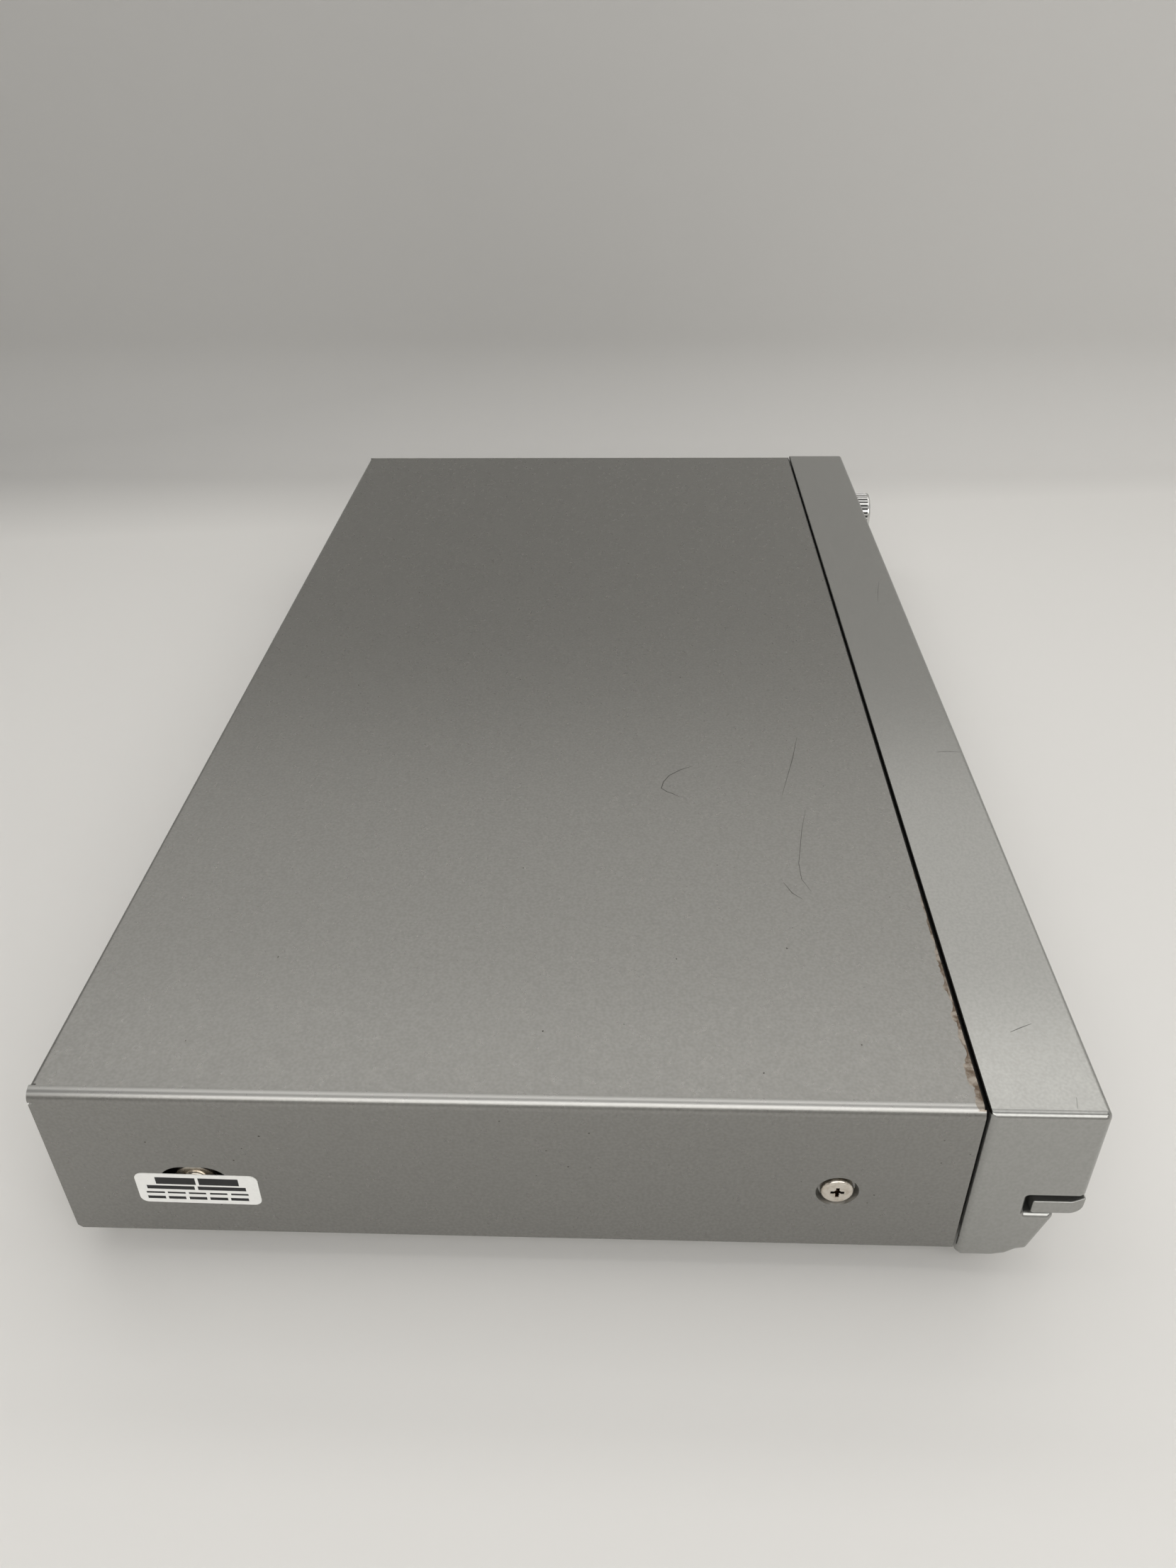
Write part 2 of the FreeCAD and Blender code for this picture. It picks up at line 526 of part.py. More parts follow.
def rca_jack(x, z, y_face, y_rim, y_back):
    """Phono socket: collar with a bore, a rim that stands out of the panel to y_rim,
    and a square body behind it."""
    sign = 1 if y_back > y_face else -1
    collar = tube(x, y_face, z, 4.1, 1.7, y_back - y_face, "y")
    root = y_back - sign * 7.0
    rim = tube(x, y_rim, z, 4.95, 1.7, root - y_rim, "y")
    body = box(x - 5.2, x + 5.2, min(root, y_back), max(root, y_back), z - 5.2, z + 5.2)
    return fuse([collar, rim, body]).cut(rod(x, y_face, z, 1.7, sign * 9.5, "y"))


def front_sockets():
    w, back = DOOR_OPENING, PANEL_IN + 2.0
    z = FRONT_SOCKET_Z
    panel = box(-w, w, PANEL_IN, back, BAY_FLOOR, NOTCH_TOP)
    cuts = [rod(x, PANEL_IN - 1, z, 5.05, 4, "y") for x in AV_JACKS]
    cuts.append(box(USB_X - 6.6, USB_X + 6.6, PANEL_IN - 1, back + 1, z - 2.95, z + 2.95))
    add("socket_panel", panel.cut(cuts))
    add("front_av_jacks", *[rca_jack(x, z, -15.0, PANEL_IN - 0.6, 1.0) for x in AV_JACKS])
    rear = usb_port(REAR_USB_X, 11.2, PANEL_Y + 0.4, -14.0)
    add("usb_ports", usb_port(USB_X, z, PANEL_IN - 0.6, 9.0), rear)


# ---------------------------------------------------------------- disc loader
PINION_X = TRAY_X - 50.5
RACK_ROOT = PINION_X - PINION_TEETH / 2 - 1.25


def gear(x, y, z0, z1, teeth, module, phase):
    """Spur gear with straight-sided teeth; phase is the angle of one tooth's middle."""
    pitch_r = teeth * module / 2
    rings = [(pitch_r - 1.25 * module, 0.92), (pitch_r, 0.70), (pitch_r + 0.95 * module, 0.38)]
    points = []
    for i in range(teeth):
        middle = phase + 2 * math.pi * i / teeth
        for r, half in rings:
            points.append(polar(r, middle - half * module / pitch_r))
        for r, half in reversed(rings):
            points.append(polar(r, middle + half * module / pitch_r))
    return slab([(x + px, y + py) for px, py in points], "z", z0, z1)


def rack(y0, y1):
    """Rib under the tray with teeth facing +X; one tooth stands exactly beside the pinion's axis."""
    back = box(RACK_ROOT - 2.4, RACK_ROOT, y0, y1, TRAY_Z - 3.6, TRAY_Z)
    teeth = []
    first = math.ceil((y0 + 1.5 - PINION_Y) / math.pi)
    last = math.floor((y1 - 1.5 - PINION_Y) / math.pi)
    for k in range(first, last + 1):
        y = PINION_Y + k * math.pi
        points = [(RACK_ROOT - 0.1, y - 1.12), (RACK_ROOT + 1.25, y - 0.70), (RACK_ROOT + 2.15, y - 0.40),
                  (RACK_ROOT + 2.15, y + 0.40), (RACK_ROOT + 1.25, y + 0.70), (RACK_ROOT - 0.1, y + 1.12)]
        teeth.append(slab(points, "z", TRAY_Z - 3.6, TRAY_Z))
    return [back] + teeth


def disc_tray():
    w, x = TRAY_W / 2, TRAY_X
    top = TRAY_Z + TRAY_T
    y0 = -FASCIA_D + WALL + 0.6
    plate = rounded(x - w, x + w, y0, TRAY_BACK, TRAY_Z, top, 3.0)
    body = fuse([plate] + rack(-15.0, TRAY_BACK - 4))
    cuts = [rod(x, DISC_Y, top - 2.2, DISC_R + 0.6, 5), rod(x, DISC_Y, top - 3.3, 40.6, 5)]
    cuts.append(rounded(x - 23, x + 23, DISC_Y - 24, TRAY_BACK + 30, TRAY_Z - 5, top + 1, 10))
    for sign in (-1, 1):
        cuts.append(rounded(x + sign * 52 - 12, x + sign * 52 + 12, DISC_Y - 74, DISC_Y - 44, top - 2.2,
                            top + 1, 6))
    add("disc_tray", body.cut(cuts))


def tray_front():
    x, y0 = TRAY_X, -FASCIA_D
    half = TRAY_FRONT_W / 2
    plate = rounded(x - half, x + half, y0 - 0.4, y0 + WALL + 0.6, TRAY_FRONT_LOW, TRAY_FRONT_TOP, 0.7, "y")
    plate = soften(plate, 0.5, lambda c, e: c.y < y0 - 0.39)
    add("tray_front", plate)


def drive_frame():
    x, w, t = TRAY_X, FRAME_HALF, 2.2
    y0, y1 = FRAME_Y0, FRAME_Y1
    walls = both_frame_sides(box(w - t, w, y0, y1, 8, 36.0))
    rails = both_frame_sides(box(64.0, w - 1, y0, y1, TRAY_Z - 3.0, TRAY_Z - 0.08))
    hooks = []
    for y in (y0 + 2, (y0 + y1) / 2 - 8, y1 - 20):
        hooks += both_frame_sides(box(64.5, w - 1, y, y + 16, TRAY_Z + TRAY_T + 0.3, 36.0))
    floor = box(x - w, x + w, y0, y1, 8, 10)
    rear = box(x - w, x + w, y1 - t, y1, 8, 24.0)
    front = box(x - w, x + w, y0, y0 + t, 8, 20.0)
    legs = [rod(x + sx * 66, y, CHASSIS_T, 3.4, 8) for sx in (-1, 1) for y in (y0 + 8, y1 - 8)]
    deck = box(x - 36, x + 34, DISC_Y - 19, DISC_Y + 92, 12.5, 14.0)
    pillars = [rod(x + sx, DISC_Y + y, 9, 3.0, 4) for sx in (-32, 30) for y in (-12, 84)]
    post = rod(PINION_X, PINION_Y, 9.5, 1.5, 17.6)
    body = fuse(walls + rails + hooks + [floor, rear, front, deck, post] + legs + pillars)
    cuts = [rounded(x - 60, x - 42, 40, 130, 7, 11, 3), rounded(x + 42, x + 60, 24, 140, 7, 11, 3)]
    cuts.append(rod(x, DISC_Y, 12, 5.0, 3))
    holders = [box(x + rx - 2.6, x + rx + 2.6, y - 2, y + 2, 13.5, 21.0)
               for rx in (-19, 19) for y in ROD_ENDS]
    holders.append(box(SCREW_X - 3.0, SCREW_X + 3.0, DISC_Y + 16.5, DISC_Y + 19.5, 13.5, 22.0))
    body = body.cut(cuts).fuse(holders).cut(rod(SCREW_X, DISC_Y + 16, 18.5, 1.87, 5, "y"))
    body = body.cut([rod(x + rx, ROD_ENDS[0] - 3, 18.5, 1.5, ROD_ENDS[1] - ROD_ENDS[0] + 6, "y")
                     for rx in (-19, 19)])
    add("drive_frame", body.removeSplitter())


ROD_ENDS = (DISC_Y + 17.0, DISC_Y + 88.0)
SCREW_X = TRAY_X + 27.5


def both_frame_sides(shape):
    """A wall of the loader given at its right side, and its mirror image,
    both moved to the loader's middle."""
    pair = both_sides(shape)
    for one in pair:
        one.translate(Vector(TRAY_X, 0, 0))
    return pair


def drive_cover():
    x, w = TRAY_X, FRAME_HALF
    plate = rounded(x - w, x + w, 12.0, FRAME_Y1, 36.0, 37.0, 1.5)
    skirts = [box(x - w - 1.0, x - w, 12.0, FRAME_Y1, 24.0, 37.0),
              box(x + w, x + w + 1.0, 12.0, FRAME_Y1, 24.0, 37.0)]
    ribs = [box(x - 50, x + 50, y, y + 4, 37.0, 38.2) for y in (84, 104, 124)]
    body = fuse([plate] + skirts + ribs)
    add("drive_cover", body.cut(rod(x, DISC_Y, 35, 13.0, 4)))
    puck = fuse([rod(x, DISC_Y, 35.2, 12.8, 1.8), rod(x, DISC_Y, 37.0, 15.0, 1.6)])
    add("disc_clamper", puck.cut(rod(x, DISC_Y, 35.2, 4.2, 1.4)))


def spindle():
    x, y = TRAY_X, DISC_Y
    motor = fuse([rod(x, y, 14.0, 12.5, 6.5), rod(x, y, 20.5, 4.0, 1.0),
                  box(x - 10, x + 10, y - 17, y, 14.0, 15.0)])
    add("spindle_motor", motor.cut(rod(x, y, 13, 1.55, 10)))
    plate = fuse([rod(x, y, 26.6, 14.0, 3.2), rod(x, y, 15.5, 1.5, 12.0), rod(x, y, 22.0, 5.0, 5.0),
                  cone(x, y, 29.8, 7.4, 6.0, 2.6)])
    notches = [box(x - 0.6, x + 0.6, y + 5, y + 9, 31, 33).rotate(Vector(x, y, 0), Vector(0, 0, 1), a)
               for a in (0, 120, 240)]
    add("turntable", plate.cut(notches))


def sled():
    x, y = TRAY_X, SLED_Y
    rods = [rod(x + rx, ROD_ENDS[0] - 2.0, 18.5, 1.5, ROD_ENDS[1] - ROD_ENDS[0] + 4, "y") for rx in (-19, 19)]
    add("guide_rods", *rods)
    body = rounded(x - 23.5, x + 22.5, y, y + 16, 16.0, 24.0, 2.0)
    top = box(x - 12, x + 12, y + 1.5, y + 14.5, 24.0, 25.6)
    lens = tube(x, y + 6, 25.6, 3.2, 2.2, 1.2)
    nut = box(x + 22.0, SCREW_X + 3.2, y + 5, y + 11, 16.5, 21.0)
    bores = [rod(x + rx, y - 1, 18.5, 1.56, 18, "y") for rx in (-19, 19)]
    bores.append(rod(SCREW_X, y, 18.5, 1.88, 16, "y"))
    add("laser_sled", fuse([body, top, lens, nut]).cut(bores))
    start, end = DISC_Y + 20.0, DISC_Y + 74.0
    worm = [rod(SCREW_X, start - 3, 18.5, 1.8, end - start + 8, "y")]
    add("lead_screw", spiral_grooved(worm[0], start, end))
    motor = fuse([rod(SCREW_X, end + 1.5, 18.5, 4.5, 14.5, "y"),
                  box(SCREW_X - 4.5, SCREW_X + 4.5, end + 1.5, end + 3, 14.0, 22.5)])
    motor = motor.cut(rod(SCREW_X, end, 18.5, 1.87, 8.5, "y"))
    add("sled_motor", motor)


def spiral_grooved(shaft, start, end):
    """Lead screw: shallow ring grooves stand for the thread between two stations."""
    rings = []
    count = int((end - start - 4) / 3)
    for i in range(count):
        y = start + 3 + 3 * i
        rings.append(tube(SCREW_X, y, 18.5, 2.4, 1.35, 1.1, "y"))
    return shaft.cut(rings)


def loading_gears():
    wheel_r = WHEEL_TEETH * WHEEL_MODULE / 2
    motor_r = MOTOR_TEETH * WHEEL_MODULE / 2
    pinion = gear(PINION_X, PINION_Y, 24.0, TRAY_Z - 0.4, PINION_TEETH, 1.0, math.pi / PINION_TEETH)
    wheel = gear(PINION_X, PINION_Y, 20.4, 24.0, WHEEL_TEETH, WHEEL_MODULE, 0)
    add("loading_gear", fuse([pinion, wheel]).cut(rod(PINION_X, PINION_Y, 18, 1.56, 12)))
    x = PINION_X + wheel_r + motor_r
    small = gear(x, PINION_Y, 20.8, 23.7, MOTOR_TEETH, WHEEL_MODULE, math.pi + math.pi / MOTOR_TEETH)
    add("motor_pinion", small.fuse(rod(x, PINION_Y, 15.5, 1.0, 6)).removeSplitter())
    case = rod(x, PINION_Y, 10.0, 9.0, 9.0)
    flats = [box(x - 10, x + 10, PINION_Y + 7.0, PINION_Y + 12, 9, 24),
             box(x - 10, x + 10, PINION_Y - 12, FRAME_Y0 + 2.2, 9, 24)]
    neck = rod(x, PINION_Y, 19.0, 3.0, 1.4)
    add("loading_motor", fuse([case, neck]).cut(flats + [rod(x, PINION_Y, 14, 1.06, 8)]))


# ---------------------------------------------------------------- disk, boards and power supply
def hard_disk():
    x0, y0, z0 = HDD_X, HDD_Y, HDD_Z
    x1, y1, z1 = x0 + HDD_W, y0 + HDD_L, z0 + HDD_H
    case = rounded(x0, x1, y0, y1, z0, z1 - 2.0, 2.0)
    lid = rounded(x0 + 1.5, x1 - 1.5, y0 + 1.5, y1 - 16, z1 - 2.0, z1, 3.0)
    hub = rod(x0 + HDD_W / 2, y0 + 52, z1 - 0.01, 14.0, 0.8)
    ports = box(x0 + 8, x0 + 48, y1 - 10, y1 + 0.6, z0 + 1.6, z0 + 7.6)
    screws = [rod(x, y, z1, 2.2, 0.7) for x in (x0 + 6, x1 - 6) for y in (y0 + 7, y0 + 66, y1 - 22)]
    add("hard_disk", fuse([case, lid, hub, ports] + screws))
    plate = box(x0 - 1, x1 + 1, y0 + 6, y1 - 8, z0 - 1.4, z0 - 0.4)
    sides = [box(x0 - 1, x0, y0 + 6, y1 - 8, z0 - 1.4, z0 + 14),
             box(x1, x1 + 1, y0 + 6, y1 - 8, z0 - 1.4, z0 + 14)]
    legs = [rod(x, y, CHASSIS_T, 4.0, z0 - 1.9) for x in (x0 + 8, x1 - 8) for y in (y0 + 18, y1 - 20)]
    window = [rounded(x0 + 22, x1 - 22, y0 + 24, y1 - 30, z0 - 2, z0, 6.0)]
    add("disk_bracket", fuse([plate] + sides + legs).cut(window))


BOARD_Z = 5.0
BOARD_T = 1.6
CHIPS = [(-120, 186, 28, 28, 2.2), (-66, 180, 20, 14, 1.4), (-66, 198, 20, 10, 1.4), (-34, 186, 14, 20, 1.6),
         (-184, 150, 24, 24, 2.0), (-184, 108, 18, 18, 1.6), (-184, 76, 12, 20, 1.4), (40, 180, 16, 16, 1.6)]


def main_board():
    body = fuse([box(-208, 72, 161.5, 214.5, BOARD_Z, BOARD_Z + BOARD_T),
                 box(-208, -158, 22, 161.5, BOARD_Z, BOARD_Z + BOARD_T)])
    holes = [rod(x, y, 4, 1.6, 4) for x, y in BOARD_POSTS if x < 70]
    add("main_board", body.cut(holes))
    top = BOARD_Z + BOARD_T
    chips = [box(x - w / 2, x + w / 2, y - d / 2, y + d / 2, top, top + h) for x, y, w, d, h in CHIPS]
    add("board_chips", *chips)
    x, y, w, d, h = CHIPS[0]
    base = box(x - 16, x + 16, y - 16, y + 16, top + h, top + h + 3)
    fins = [box(x - 16 + 4 * i, x - 14.6 + 4 * i, y - 16, y + 16, top + h + 2.5, top + h + 15)
            for i in range(8)]
    fins.append(box(x + 14.6, x + 16, y - 16, y + 16, top + h + 2.5, top + h + 15))
    add("chip_heatsink", fuse([base] + fins))


def electrolytic(x, y, z, r, h):
    can = rod(x, y, z, r, h)
    ring = tube(x, y, z + 1.6, r + 1, r - 0.35, 0.9)
    return can.cut([ring, box(x - r, x + r, y - 0.3, y + 0.3, z + h - 0.3, z + h + 1),
                    box(x - 0.3, x + 0.3, y - r, y + r, z + h - 0.3, z + h + 1)])


def power_supply():
    z = BOARD_Z + BOARD_T
    board = box(122, 208, 66, 212, BOARD_Z, z)
    add("supply_board", board.cut([rod(x, y, 4, 1.6, 4) for x, y in BOARD_POSTS if x > 100]))
    core = box(150, 186, 112, 142, z, z + 26).cut([box(156, 180, 111, 143, z + 4, z + 22)])
    core = core.fuse(box(165, 171, 112, 142, z + 3, z + 23))
    coil = rounded(157, 179, 104, 150, z + 4.3, z + 21.7, 5.0).cut(box(165, 171, 112, 142, z, z + 30))
    coil = coil.cut(box(148, 188, 111.9, 142.1, z - 1, z + 4.3))
    core = core.cut(coil)
    add("transformer", fuse([core]), coil)
    cans = [electrolytic(134, 176, z, 9.0, 32), electrolytic(136, 154, z, 6.0, 22),
            electrolytic(134, 92, z, 5.0, 20), electrolytic(147, 92, z, 5.0, 20),
            electrolytic(160, 92, z, 5.0, 20), electrolytic(-176, 48, z, 4.0, 10),
            electrolytic(-190, 48, z, 4.0, 10), electrolytic(0, 180, z, 4.0, 10),
            electrolytic(12, 180, z, 4.0, 10)]
    add("capacitors", *cans)
    plate = box(196, 198.5, 76, 168, z, z + 34)
    fins = [box(198.4, 205, 78 + 8 * i, 80 + 8 * i, z + 8, z + 34) for i in range(12)]
    add("supply_heatsink", fuse([plate] + fins))


def ac_inlet():
    x, z, y = INLET_X, 20.6, PANEL_Y
    body = rounded(x - 13.8, x + 13.8, y - 20, y, z - 10.1, z + 10.1, 2.0, "y")
    rim = rounded(x - 16, x + 16, y, y + 2.6, z - 12.4, z + 12.4, 2.5, "y")
    cavity = slab([(x - 12, z - 8.2), (x + 12, z - 8.2), (x + 12, z + 3.2), (x + 7, z + 8.2),
                   (x - 7, z + 8.2),
                   (x - 12, z + 3.2)], "y", y - 16, y + 3, 1.2)
    shell = fuse([body, rim, box(x - 12, x + 12, y - 19, y - 8, BOARD_Z + BOARD_T, z)]).cut(cavity)
    pins = [box(x + px - 1.0, x + px + 1.0, y - 18, y - 2.4, z + pz - 2, z + pz + 2)
            for px, pz in ((-7, -1.6), (7, -1.6), (0, 2.8))]
    shell = shell.cut(pins)
    add("ac_inlet", shell)
    add("inlet_pins", *pins)


def fan():
    x, z, y1 = FAN_X, FAN_Z, PANEL_Y - 1.0
    y0 = y1 - 15.0
    body = rounded(x - 20, x + 20, y0, y1, z - 20, z + 20, 3.0, "y")
    body = body.cut([rod(x, y0 - 1, z, 19.0, 17, "y")])
    struts = [box(x - 0.9, x + 0.9, y1 - 2.5, y1, z, z + 19.5).rotate(Vector(x, y0, z), Vector(0, 1, 0), a)
              for a in (45, 165, 285)]
    hub = rod(x, y1 - 2.5, z, 10.0, 2.5, "y")
    pin = rod(x, y0 + 3, z, 1.5, 11, "y")
    holes = [rod(x + sx * 16, y0 - 1, z + sz * 16, 1.8, 17, "y") for sx in (-1, 1) for sz in (-1, 1)]
    add("fan_frame", fuse([body, hub, pin] + struts).cut(holes))
    rotor = rod(x, y0 + 1.0, z, 9.4, 11.0, "y")
    blades = []
    for i in range(7):
        blade = box(x - 0.5, x + 0.5, y0 + 1.2, y0 + 11.6, z + 8.6, z + 18.4)
        blade.rotate(Vector(x, y0 + 6.4, z), Vector(0, 0, 1), 38)
        blade.rotate(Vector(x, 0, z), Vector(0, 1, 0), i * 360 / 7)
        blades.append(blade)
    trim = rod(x, y0, z, 18.3, 14, "y")
    rotor = fuse([rotor] + [b.common(trim) for b in blades])
    add("fan_rotor", rotor.cut(rod(x, y0 + 2.8, z, 1.56, 14, "y")))


def bnc_jack(x, z):
    y = PANEL_Y
    parts = [rod(x, y - 12, z, 4.75, 12.5, "y"), box(x - 6.5, x + 6.5, y - 14, y - 1.0, z - 6.5, z + 6.5)]
    parts.append(slab([(x + 6.0 * math.cos(a), z + 6.0 * math.sin(a))
                       for a in [math.pi * k / 3 for k in range(6)]],
                      "y", y, y + 1.6))
    parts.append(rod(x, y, z, 4.8, 10.6, "y"))
    parts += [rod(x + sx * 4.3, y + 7.6, z, 0.8, sx * 0.6, "x") for sx in (-1, 1)]
    body = fuse(parts)
    bore = rod(x, y + 1.5, z, 4.1, 10, "y")
    core = tube(x, y + 1.0, z, 2.4, 0.7, 8.5, "y")
    return body.cut(bore).fuse(core)


def rear_sockets():
    add("bnc_jacks", *[bnc_jack(x, z) for x, z in REAR_PORTS["bnc"]])
    add("audio_jacks", *[rca_jack(x, z, PANEL_Y + 8.0, PANEL_Y + 0.6, PANEL_Y - 9.0)
                         for x, z in REAR_PORTS["rca"]])
    y, z = PANEL_Y, 15.5
    flange = rounded(VGA_X - 15.4, VGA_X + 15.4, y - 1.0, y + 0.6, z - 6.0, z + 6.0, 1.0, "y")
    mouth = slab([(VGA_X - 8.2, z + 4.0), (VGA_X + 8.2, z + 4.0), (VGA_X + 6.9, z - 4.0),
                  (VGA_X - 6.9, z - 4.0)],
                 "y", y, y + 5.8, 1.6)
    block = box(VGA_X - 13, VGA_X + 13, y - 11, y - 1.0, BOARD_Z + BOARD_T, z + 5)
    nuts = [slab([(VGA_X + sx + 2.7 * math.cos(a), z + 2.7 * math.sin(a))
                  for a in [math.pi * k / 3 for k in range(6)]],
                 "y", y + 0.5, y + 5.0) for sx in (-12.5, 12.5)]
    pins = [rod(VGA_X + 2.3 * (i - 2) + 1.1 * (row == 1) - 0.5, y + 2, z + 2.3 * (row - 1), 0.55, 4, "y")
            for row in range(3) for i in range(5)]
    threads = [rod(VGA_X + sx, y + 1, z, 1.3, 6, "y") for sx in (-12.5, 12.5)]
    add("vga_port", fuse([flange, mouth, block] + nuts).cut(pins + threads))
    body = box(LAN_X - 8, LAN_X + 8, y - 15, y + 1.0, 8.1, 21.6)
    body = body.fuse(box(LAN_X - 7, LAN_X + 7, y - 14, y - 2, BOARD_Z + BOARD_T, 8.2))
    hole = [box(LAN_X - 5.9, LAN_X + 5.9, y - 11, y + 2, 11.3, 19.1),
            box(LAN_X - 2, LAN_X + 2, y - 7, y + 2, 19.0, 20.5)]
    add("lan_port", body.cut(hole))


def main():
    base_chassis()
    top_cover()
    rear_panel()
    cover_screws()
    feet()
    seal_sticker()
    front_fascia()
    front_door()
    display()
    keys()
    jog_dial()
    front_sockets()
    disc_tray()
    tray_front()
    drive_frame()
    drive_cover()
    spindle()
    sled()
    loading_gears()
    hard_disk()
    main_board()
    power_supply()
    ac_inlet()
    fan()
    rear_sockets()
    os.makedirs("parts", exist_ok=True)
    for name, solids in PARTS.items():
        placed = [place(s) for s in solids]
        shape = placed[0] if len(placed) == 1 else Part.makeCompound(placed)
        shape.exportStep("parts/" + name + ".step")
    print(len(PARTS), "nodes")


main()
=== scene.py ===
"""Looks for the slim recorder: paint, plastics and metals on the CAD nodes, printed marks, wear and studio.

Lengths in mm are written in the recorder's own drawing frame: X to the right as seen from the front, Y = 0 at
the seam behind the front moulding, Z = 0 at the cover's lower edge. at() turns them into the frame's metres.
"""
import bpy
import bmesh
import math
import random
from mathutils import Matrix, Vector


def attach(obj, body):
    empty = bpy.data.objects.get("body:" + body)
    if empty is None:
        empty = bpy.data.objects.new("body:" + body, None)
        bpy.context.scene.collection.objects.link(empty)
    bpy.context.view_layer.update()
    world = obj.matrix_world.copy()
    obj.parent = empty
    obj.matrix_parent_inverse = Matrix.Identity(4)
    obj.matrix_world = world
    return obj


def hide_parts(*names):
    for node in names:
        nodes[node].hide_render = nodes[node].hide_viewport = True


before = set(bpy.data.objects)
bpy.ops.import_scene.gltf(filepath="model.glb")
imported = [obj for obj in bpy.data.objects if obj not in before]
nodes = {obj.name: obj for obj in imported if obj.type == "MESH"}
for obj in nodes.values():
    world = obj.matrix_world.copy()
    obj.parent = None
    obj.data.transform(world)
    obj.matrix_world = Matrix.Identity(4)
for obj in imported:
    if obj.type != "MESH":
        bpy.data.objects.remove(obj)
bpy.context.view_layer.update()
MM = 0.001
SEAM_SHIFT = -95.9      # the drawing frame's Y = 0 in the row frame
FOOT_H = 9.5            # the drawing frame's Z = 0 above the floor
COVER_TOP = 49.5
COVER_SIDE = 215.0      # half the cover's width
FRONT_TOP = 49.6        # top of the front moulding
PANEL_Y = 217.6         # outer face of the rear panel
SIDE_SCREW_FRONT = (30.4, 20.5)     # (y, z) of the cover screws on each side
SIDE_SCREW_REAR = (184.6, 18.0)
KNOB_X, KNOB_Z = 176.0, 34.0


def at(x, y, z):
    """Point of the drawing frame, in metres of the row frame."""
    return Vector((x * MM, (y + SEAM_SHIFT) * MM, (z + FOOT_H) * MM))


# ---------------------------------------------------------------- shader helpers
def shade(color, factor):
    """The colour made darker or lighter by a factor, never past white."""
    return tuple(min(1.0, c * factor) for c in color)


class Shader:
    """One procedural material: a Principled shader and small helpers that add nodes in front of it."""

    def __init__(self, name, color, rough, metal=0.0, **sockets):
        self.mat = bpy.data.materials.new(name)
        self.mat.use_nodes = True
        self.tree = self.mat.node_tree
        self.bsdf = self.tree.nodes["Principled BSDF"]
        self.color = color
        self.put("Base Color", (*color, 1.0))
        self.put("Roughness", rough)
        self.put("Metallic", metal)
        for key, value in sockets.items():
            self.put(key.replace("_", " "), value)
        self.coord = self.node("ShaderNodeTexCoord").outputs["Object"]

    def put(self, socket, value):
        self.bsdf.inputs[socket].default_value = value

    def node(self, kind, **settings):
        made = self.tree.nodes.new(kind)
        for key, value in settings.items():
            setattr(made, key, value)
        return made

    def link(self, source, target):
        self.tree.links.new(source, target)

    def noise(self, scale, detail=2.0, stretch=None):
        """Noise value between 0 and 1; scale in cells per metre; stretch scales the three axes."""
        made = self.node("ShaderNodeTexNoise")
        made.inputs["Scale"].default_value = scale
        made.inputs["Detail"].default_value = detail
        source = self.coord
        if stretch:
            mapping = self.node("ShaderNodeMapping")
            mapping.inputs["Scale"].default_value = stretch
            self.link(self.coord, mapping.inputs["Vector"])
            source = mapping.outputs["Vector"]
        self.link(source, made.inputs["Vector"])
        return made.outputs["Fac"]

    def remap(self, value, low, high, to_low=0.0, to_high=1.0):
        """Carries the span low to high over to the span to_low to to_high, and holds it at both ends."""
        made = self.node("ShaderNodeMapRange")
        made.inputs["From Min"].default_value = low
        made.inputs["From Max"].default_value = high
        made.inputs["To Min"].default_value = to_low
        made.inputs["To Max"].default_value = to_high
        self.link(value, made.inputs["Value"])
        return made.outputs["Result"]

    def math(self, op, a, b=None):
        """One Math node; a and b are each a socket or a number."""
        made = self.node("ShaderNodeMath", operation=op)
        for socket, value in zip(made.inputs, (a, b)):
            if value is None:
                continue
            if isinstance(value, (int, float)):
                socket.default_value = value
            else:
                self.link(value, socket)
        return made.outputs["Value"]

    def mix(self, factor, a, b):
        """Colour between a and b; each is a socket or an RGB tuple."""
        made = self.node("ShaderNodeMix", data_type="RGBA")
        self.link(factor, made.inputs[0])
        for socket, value in zip((made.inputs[6], made.inputs[7]), (a, b)):
            if isinstance(value, tuple):
                socket.default_value = (*value, 1.0)
            else:
                self.link(value, socket)
        return made.outputs[2]

    def axis(self, letter):
        """One of the object's X, Y and Z, in metres."""
        made = self.node("ShaderNodeSeparateXYZ")
        self.link(self.coord, made.inputs["Vector"])
        return made.outputs[letter]

    def speckle(self, scale, amount, detail=2.0):
        """Varies the base colour by plus and minus amount with noise of that scale."""
        mottle = self.remap(self.noise(scale, detail), 0.3, 0.7)
        return self.mix(mottle, shade(self.color, 1 - amount), shade(self.color, 1 + amount))

    def roughen(self, scale, low, high):
        """Lets the roughness drift between two values with noise of that scale."""
        self.link(self.remap(self.noise(scale, 3.0), 0.3, 0.7, low, high), self.bsdf.inputs["Roughness"])

    def bump(self, height, distance, strength=1.0):
        made = self.node("ShaderNodeBump")
        made.inputs["Distance"].default_value = distance
        made.inputs["Strength"].default_value = strength
        self.link(height, made.inputs["Height"])
        self.link(made.outputs["Normal"], self.bsdf.inputs["Normal"])

    def base(self, socket):
        self.link(socket, self.bsdf.inputs["Base Color"])


def moulded(name, color, rough, grain=1500, depth=0.00002, **sockets):
    """Moulded plastic: faint colour drift and a spark-eroded grain."""
    s = Shader(name, color, rough, **sockets)
    s.base(s.speckle(60, 0.06))
    s.roughen(240, rough * 0.9, min(1.0, rough * 1.12))
    s.bump(s.noise(grain), depth, 0.6)
    return s.mat


